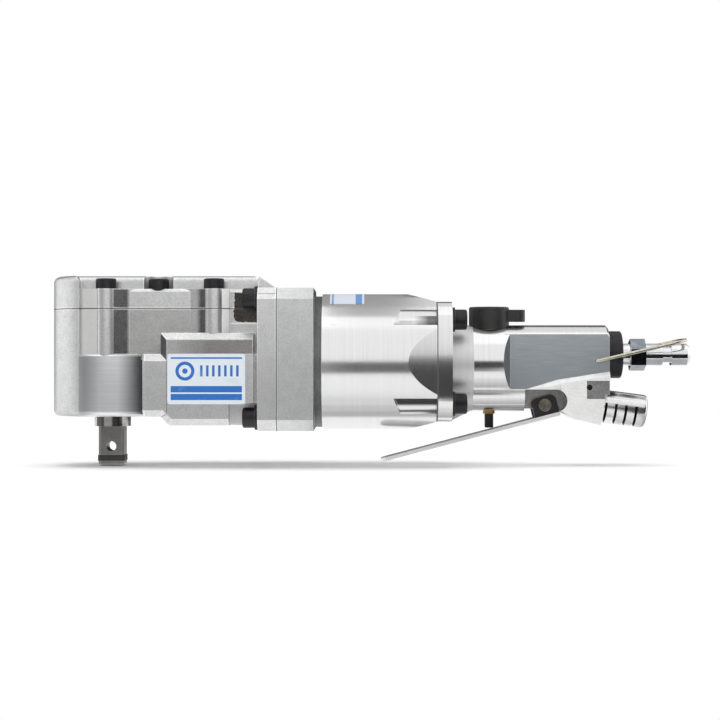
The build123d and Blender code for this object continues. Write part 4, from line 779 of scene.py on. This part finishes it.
# Painted shade on the ears at the pivot.
colour = blend_colours(tree, on_ear, colour, toned(tree, lines, oxide_and_shade_black, oxide_and_shade_grey))
feed(tree, shader.inputs["Base Color"], colour)
feed(tree, shader.inputs["Roughness"], blend_values(tree, lines["Tone"], 0.32, 0.22))
feed(tree, shader.inputs["Normal"], bump(tree, lines["Height"], depth=0.00002, strength=0.4))
shader.inputs["Metallic"].default_value = 0.45
dress(brushed, "throttle_lever")


# Throttle spring: a coil of oiled wire between the throttle valve and the roof of its bore.
weld_reach = 0.00001
coil = bmesh.new()
coil.from_mesh(nodes["throttle_spring"].data)
bmesh.ops.remove_doubles(coil, verts=coil.verts, dist=weld_reach)
mesh = bpy.data.meshes.new("throttle_coil")
coil.to_mesh(mesh)
coil.free()
mesh.materials.clear()
mesh.materials.append(oiled)
piece = bpy.data.objects.new("throttle_coil", mesh)
bpy.context.scene.collection.objects.link(piece)
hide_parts("throttle_spring")
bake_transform(piece)


# Air plug: chrome plated steel with a hexagon for the wrench.
# Fingers have smudged the plating, and the hexagon is painted darker as a painted dark reflection.
chrome_tone = (0.80, 0.81, 0.83, 1.0)
chrome_smudge = (0.66, 0.67, 0.69, 1.0)
hexagon_shade_tone = (0.20, 0.22, 0.25, 1.0)
hexagon_shade_smudged = (0.34, 0.36, 0.39, 1.0)
hexagon_left, hexagon_right = 0.2581, 0.2658
chrome, tree, shader = start_material("chrome plating")
smudges = noise(tree, own_place(tree), scale=230.0, detail=4.0)
smudges = sharpen(tree, smudges, gain=3.0, offset=-1.2)
rings = place_group(tree, tool_lines, X=3000.0, Y=20.0, Z=20.0)
on_hexagon = between(tree, split_place(tree)["X"], hexagon_left, hexagon_right)
plating = blend_colours(tree, smudges, chrome_tone, chrome_smudge)
# Painted dark reflection on the hexagon.
hexagon_painted_shade = blend_colours(tree, smudges, hexagon_shade_tone, hexagon_shade_smudged)
feed(tree, shader.inputs["Base Color"], blend_colours(tree, on_hexagon, plating, hexagon_painted_shade))
feed(tree, shader.inputs["Roughness"], blend_values(tree, smudges, 0.07, 0.18))
feed(tree, shader.inputs["Normal"], bump(tree, rings["Height"], depth=0.00001, strength=0.3))
shader.inputs["Metallic"].default_value = 1.0
dress(chrome, "air_plug")


# Hanger bail and lever pin: spring wire and turned steel.
# Both have a bright, yellowish zinc plating with a patchy bloom.
zinc_tone = (0.80, 0.76, 0.64, 1.0)
zinc_shade = (0.40, 0.37, 0.30, 1.0)
zinc, tree, shader = start_material("zinc wire")
bloom = noise(tree, own_place(tree), scale=420.0, detail=4.0)
feed(tree, shader.inputs["Base Color"], blend_colours(tree, bloom, zinc_shade, zinc_tone))
feed(tree, shader.inputs["Roughness"], blend_values(tree, bloom, 0.10, 0.24))
feed(tree, shader.inputs["Normal"], bump(tree, bloom, depth=0.00002, strength=0.3))
shader.inputs["Metallic"].default_value = 1.0
dress(zinc, "hanger_bail", "lever_pin")


# Exhaust deflector: a polished tube, tilted down, whose four grooves and bore are painted dark as painted
# shade.
# The solid's mesh spans one land with long flat facets, so the piece shown is the same tube with
# those facets halved until they lie on the round.
tube_groove_shade_tone = (0.035, 0.034, 0.033, 1.0)
tube_groove_shade_low = (0.012, 0.012, 0.012, 1.0)
tube_x, tube_z = 0.2467, 0.0289
tube_tilt = math.radians(7.5)
tube_radius, groove_radius = 0.0082, 0.0075
tube_slack = 0.00006
tube_halvings = 5
tube_crease = math.radians(35.0)
silver, tree, shader = start_material("silver tube")
place = split_place(tree)
grain = place_group(tree, blasted_grain, Pits=1600.0, Clouds=260.0)
edges = place_group(tree, rubbed_edges, Width=0.0004, Gain=4.0)["Mask"]
along = calculate(tree, "SUBTRACT", place["X"], tube_x)
above = calculate(tree, "SUBTRACT", place["Z"], tube_z)
lift = calculate(tree, "MULTIPLY", above, math.cos(tube_tilt))
lift = calculate(tree, "MULTIPLY_ADD", along, math.sin(tube_tilt), lift)
# Painted shade in the grooves and the bore.
tube_groove_shade = under(tree, distance(tree, lift, place["Y"]), groove_radius)
colour = blend_colours(tree, edges, toned(tree, grain, polished_shade, polished_tone), cast_bright)
colour = blend_colours(tree, tube_groove_shade, colour, toned(tree, grain, tube_groove_shade_low, tube_groove_shade_tone))
feed(tree, shader.inputs["Base Color"], colour)
feed(tree, shader.inputs["Roughness"], blend_values(tree, tube_groove_shade, 0.24, 0.7))
feed(tree, shader.inputs["Normal"], bump(tree, grain["Height"], depth=0.00003, strength=0.3))
shader.inputs["Metallic"].default_value = 1.0

tube_start = Vector((tube_x, 0.0, tube_z))
tube_way = Vector((math.cos(tube_tilt), 0.0, -math.sin(tube_tilt)))


def off_axis(point):
    """The step from the tube's axis to a point, square to the axis."""
    step = point - tube_start
    return step - tube_way * step.dot(tube_way)


def on_round(vert):
    """Whether a vertex lies on the tube's outer round."""
    return off_axis(vert.co).length > tube_radius - weld_reach


def cuts_corner(edge):
    """Whether an edge of the outer round runs through the metal instead of over it."""
    middle = (edge.verts[0].co + edge.verts[1].co) / 2
    if off_axis(middle).length > tube_radius - tube_slack:
        return False
    return all(on_round(vert) for face in edge.link_faces for vert in face.verts)


tube = bmesh.new()
tube.from_mesh(nodes["exhaust_deflector"].data)
bmesh.ops.remove_doubles(tube, verts=tube.verts, dist=weld_reach)
for halving in range(tube_halvings):
    slack_edges = [edge for edge in tube.edges if cuts_corner(edge)]
    halved = bmesh.ops.subdivide_edges(tube, edges=slack_edges, cuts=1)
    for vert in [part for part in halved["geom_inner"] if isinstance(part, bmesh.types.BMVert)]:
        step = off_axis(vert.co)
        vert.co += step * (tube_radius / step.length - 1.0)
    bmesh.ops.triangulate(tube, faces=[face for face in tube.faces if len(face.verts) > 3])
for face in tube.faces:
    face.smooth = True
mesh = bpy.data.meshes.new("deflector_tube")
tube.to_mesh(mesh)
tube.free()
mesh.attributes.remove(mesh.attributes["custom_normal"])
mesh.set_sharp_from_angle(angle=tube_crease)
mesh.materials.clear()
mesh.materials.append(silver)
piece = bpy.data.objects.new("deflector_tube", mesh)
bpy.context.scene.collection.objects.link(piece)
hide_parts("exhaust_deflector")
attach(piece, "casing")


# Stage: a white floor under the drive, a bright surround and one wide soft lamp overhead.
# Cards that only reflections see give the metal a studio to mirror: upright strips in front and a dark
# back, level glows and shades, bright and dark corners, and a canopy that rises from the back.
paper_white, paper_grey = (0.91, 0.91, 0.91, 1.0), (0.89, 0.89, 0.89, 1.0)
paper_mirrored = (0.82, 0.82, 0.82, 1.0)
floor_height, floor_radius = -0.0004, 0.55
stage_x = 0.12
surround_white = (1.0, 1.0, 1.0, 1.0)
surround_grey = (0.80, 0.80, 0.80, 1.0)
lamp_size, lamp_height, lamp_power = 1.1, 1.2, 9.0
strip_top = 0.0515
corner_out, corner_top = 0.60, 0.35
back_out, back_left, back_right, back_top = 0.60, -0.70, 0.47, 0.27
canopy_height, canopy_half, canopy_front = 0.62, 0.55, -0.36
canopy_middle, canopy_right = -0.032, 0.045
canopy_fold = (0.42, 0.41)


def stage_mesh(shape, name, material):
    """Puts a mesh on the stage, outside the object."""
    mesh = bpy.data.meshes.new(name)
    shape.to_mesh(mesh)
    shape.free()
    mesh.materials.append(material)
    piece = bpy.data.objects.new(name, mesh)
    bpy.context.scene.collection.objects.link(piece)
    return piece


def mirrored_card(name, level, corners):
    """A card of one even brightness, seen in reflections alone."""
    material = bpy.data.materials.new(name)
    material.use_nodes = True
    tree = material.node_tree
    tree.nodes.clear()
    glow = tree.nodes.new("ShaderNodeEmission")
    glow.inputs["Strength"].default_value = level
    tree.links.new(glow.outputs["Emission"], tree.nodes.new("ShaderNodeOutputMaterial").inputs["Surface"])
    shape = bmesh.new()
    shape.faces.new([shape.verts.new((stage_x + x, y, z)) for x, y, z in corners])
    piece = stage_mesh(shape, name, material)
    piece.visible_camera = False
    piece.visible_diffuse = False
    piece.visible_shadow = False


def upright_card(name, level, left, right, y, bottom, top):
    """A card that stands across the view, from its left to its right end along X."""
    mirrored_card(name, level, [(left, y, bottom), (right, y, bottom), (right, y, top), (left, y, top)])


def level_card(name, level, left, right, front, back, z):
    """A card that lies level, from its front to its back edge along Y."""
    mirrored_card(name, level, [(left, front, z), (right, front, z), (right, back, z), (left, back, z)])


floor_white, tree, shader = start_material("floor")
speckle = noise(tree, own_place(tree), scale=60.0, detail=3.0)
paper = blend_colours(tree, speckle, paper_grey, paper_white)
mirrored = tree.nodes.new("ShaderNodeLightPath").outputs["Is Glossy Ray"]
feed(tree, shader.inputs["Base Color"], blend_colours(tree, mirrored, paper, paper_mirrored))
shader.inputs["Roughness"].default_value = 0.9
shader.inputs["Specular IOR Level"].default_value = 0.0
floor = bmesh.new()
bmesh.ops.create_circle(floor, cap_ends=True, radius=floor_radius, segments=96)
bmesh.ops.translate(floor, verts=floor.verts, vec=(stage_x, 0.0, floor_height))
stage_mesh(floor, "floor", floor_white)

for strip in (("head strip", 0.35, -0.37, -0.012, -0.16, 0.0, strip_top),
              ("motor strip", 0.12, -0.012, 0.38, -0.16, 0.0, strip_top),
              ("flange strip", 0.05, 0.038, 0.080, -0.07, 0.0285, 0.0540),
              ("plug strip", 0.02, 0.142, 0.28, -0.07, 0.0, 0.0600)):
    upright_card(*strip)
for shade in (("head glow", 1.20, -0.14, -0.020, -0.070, 0.010, 0.0),
              ("front motor shade", 0.80, -0.02, 0.13, -0.045, -0.032, 0.0),
              ("middle motor shade", 0.66, -0.02, 0.13, -0.032, -0.022, 0.0),
              ("back motor shade", 0.52, -0.02, 0.13, -0.022, -0.012, 0.0),
              ("motor glow", 1.05, -0.02, 0.13, -0.012, 0.150, 0.0),
              ("neck shade", 0.25, 0.045, 0.085, -0.160, -0.095, 0.0),
              ("plug shade", 0.48, 0.146, 0.21, -0.055, 0.045, 0.0)):
    level_card(*shade)

# Corner cards: brightness, bearing from the front and half width.
for name, level, bearing, half in (
        ("left corner card", 0.50, math.radians(-49.0), 0.28),
        ("left bright card", 1.30, math.radians(-102.0), 0.28),
        ("right corner card", 0.05, math.radians(59.5), 0.166),
        ("right bright card", 1.30, math.radians(102.0), 0.28)):
    away = Vector((math.sin(bearing), -math.cos(bearing), 0.0)) * corner_out
    aside = Vector((math.cos(bearing), math.sin(bearing), 0.0)) * half
    up = Vector((0.0, 0.0, corner_top))
    mirrored_card(name, level, [away - aside, away + aside, away + aside + up, away - aside + up])

level_card("flange panel", 1.80, -0.048, -0.020, -0.10, 0.05, 0.30)
upright_card("back card", 0.06, back_left, back_right, back_out, 0.0, back_top)

# Canopy: three parts side by side, each of a low, a pale and a bright panel, which begins at the split.
for part, levels, left, right, split in (
        ("head", (0.15, 0.38, 1.60), -canopy_half, canopy_middle, 0.16),
        ("motor", (0.38, 0.38, 1.05), canopy_middle, canopy_right, -0.10),
        ("handle", (0.10, 0.85, 1.25), canopy_right, canopy_half, 0.15)):
    rungs = ((back_out, back_top), canopy_fold, (split, canopy_height), (canopy_front, canopy_height))
    for word, level, low, high in zip(("low", "pale", "bright"), levels, rungs, rungs[1:]):
        corners = [(left, *low), (right, *low), (right, *high), (left, *high)]
        mirrored_card(f"{part} {word} panel", level, corners)

lamp = bpy.data.objects.new("soft lamp", bpy.data.lights.new("soft lamp", "AREA"))
lamp.data.shape = "DISK"
lamp.data.size = lamp_size
lamp.data.energy = lamp_power
lamp.location = (stage_x, 0.0, lamp_height)
lamp.visible_glossy = False
bpy.context.scene.collection.objects.link(lamp)

world = bpy.data.worlds.new("surround")
bpy.context.scene.world = world
world.use_nodes = True
tree = world.node_tree
ray = tree.nodes.new("ShaderNodeLightPath").outputs
seen = calculate(tree, "MAXIMUM", ray["Is Glossy Ray"], ray["Is Transmission Ray"])
seen = calculate(tree, "MAXIMUM", ray["Is Camera Ray"], seen)
feed(tree, tree.nodes["Background"].inputs["Color"], blend_colours(tree, seen, surround_grey, surround_white))

# The camera stands level with the middle of the tool, so far off that the 720 pixels of the
# picture span 360 mm at the tool's middle plane.
camera_distance = 0.90
camera_x, camera_z = 0.12355, 0.05215
view_width = 0.36
camera = bpy.data.objects.new("camera", bpy.data.cameras.new("camera"))
camera.location = (camera_x, -camera_distance, camera_z)
camera.rotation_euler = (math.pi / 2, 0.0, 0.0)
camera.data.lens = camera.data.sensor_width * camera_distance / view_width
camera.data.clip_start = 0.01
bpy.context.scene.collection.objects.link(camera)
bpy.context.scene.camera = camera
bpy.context.scene.view_settings.view_transform = "Standard"
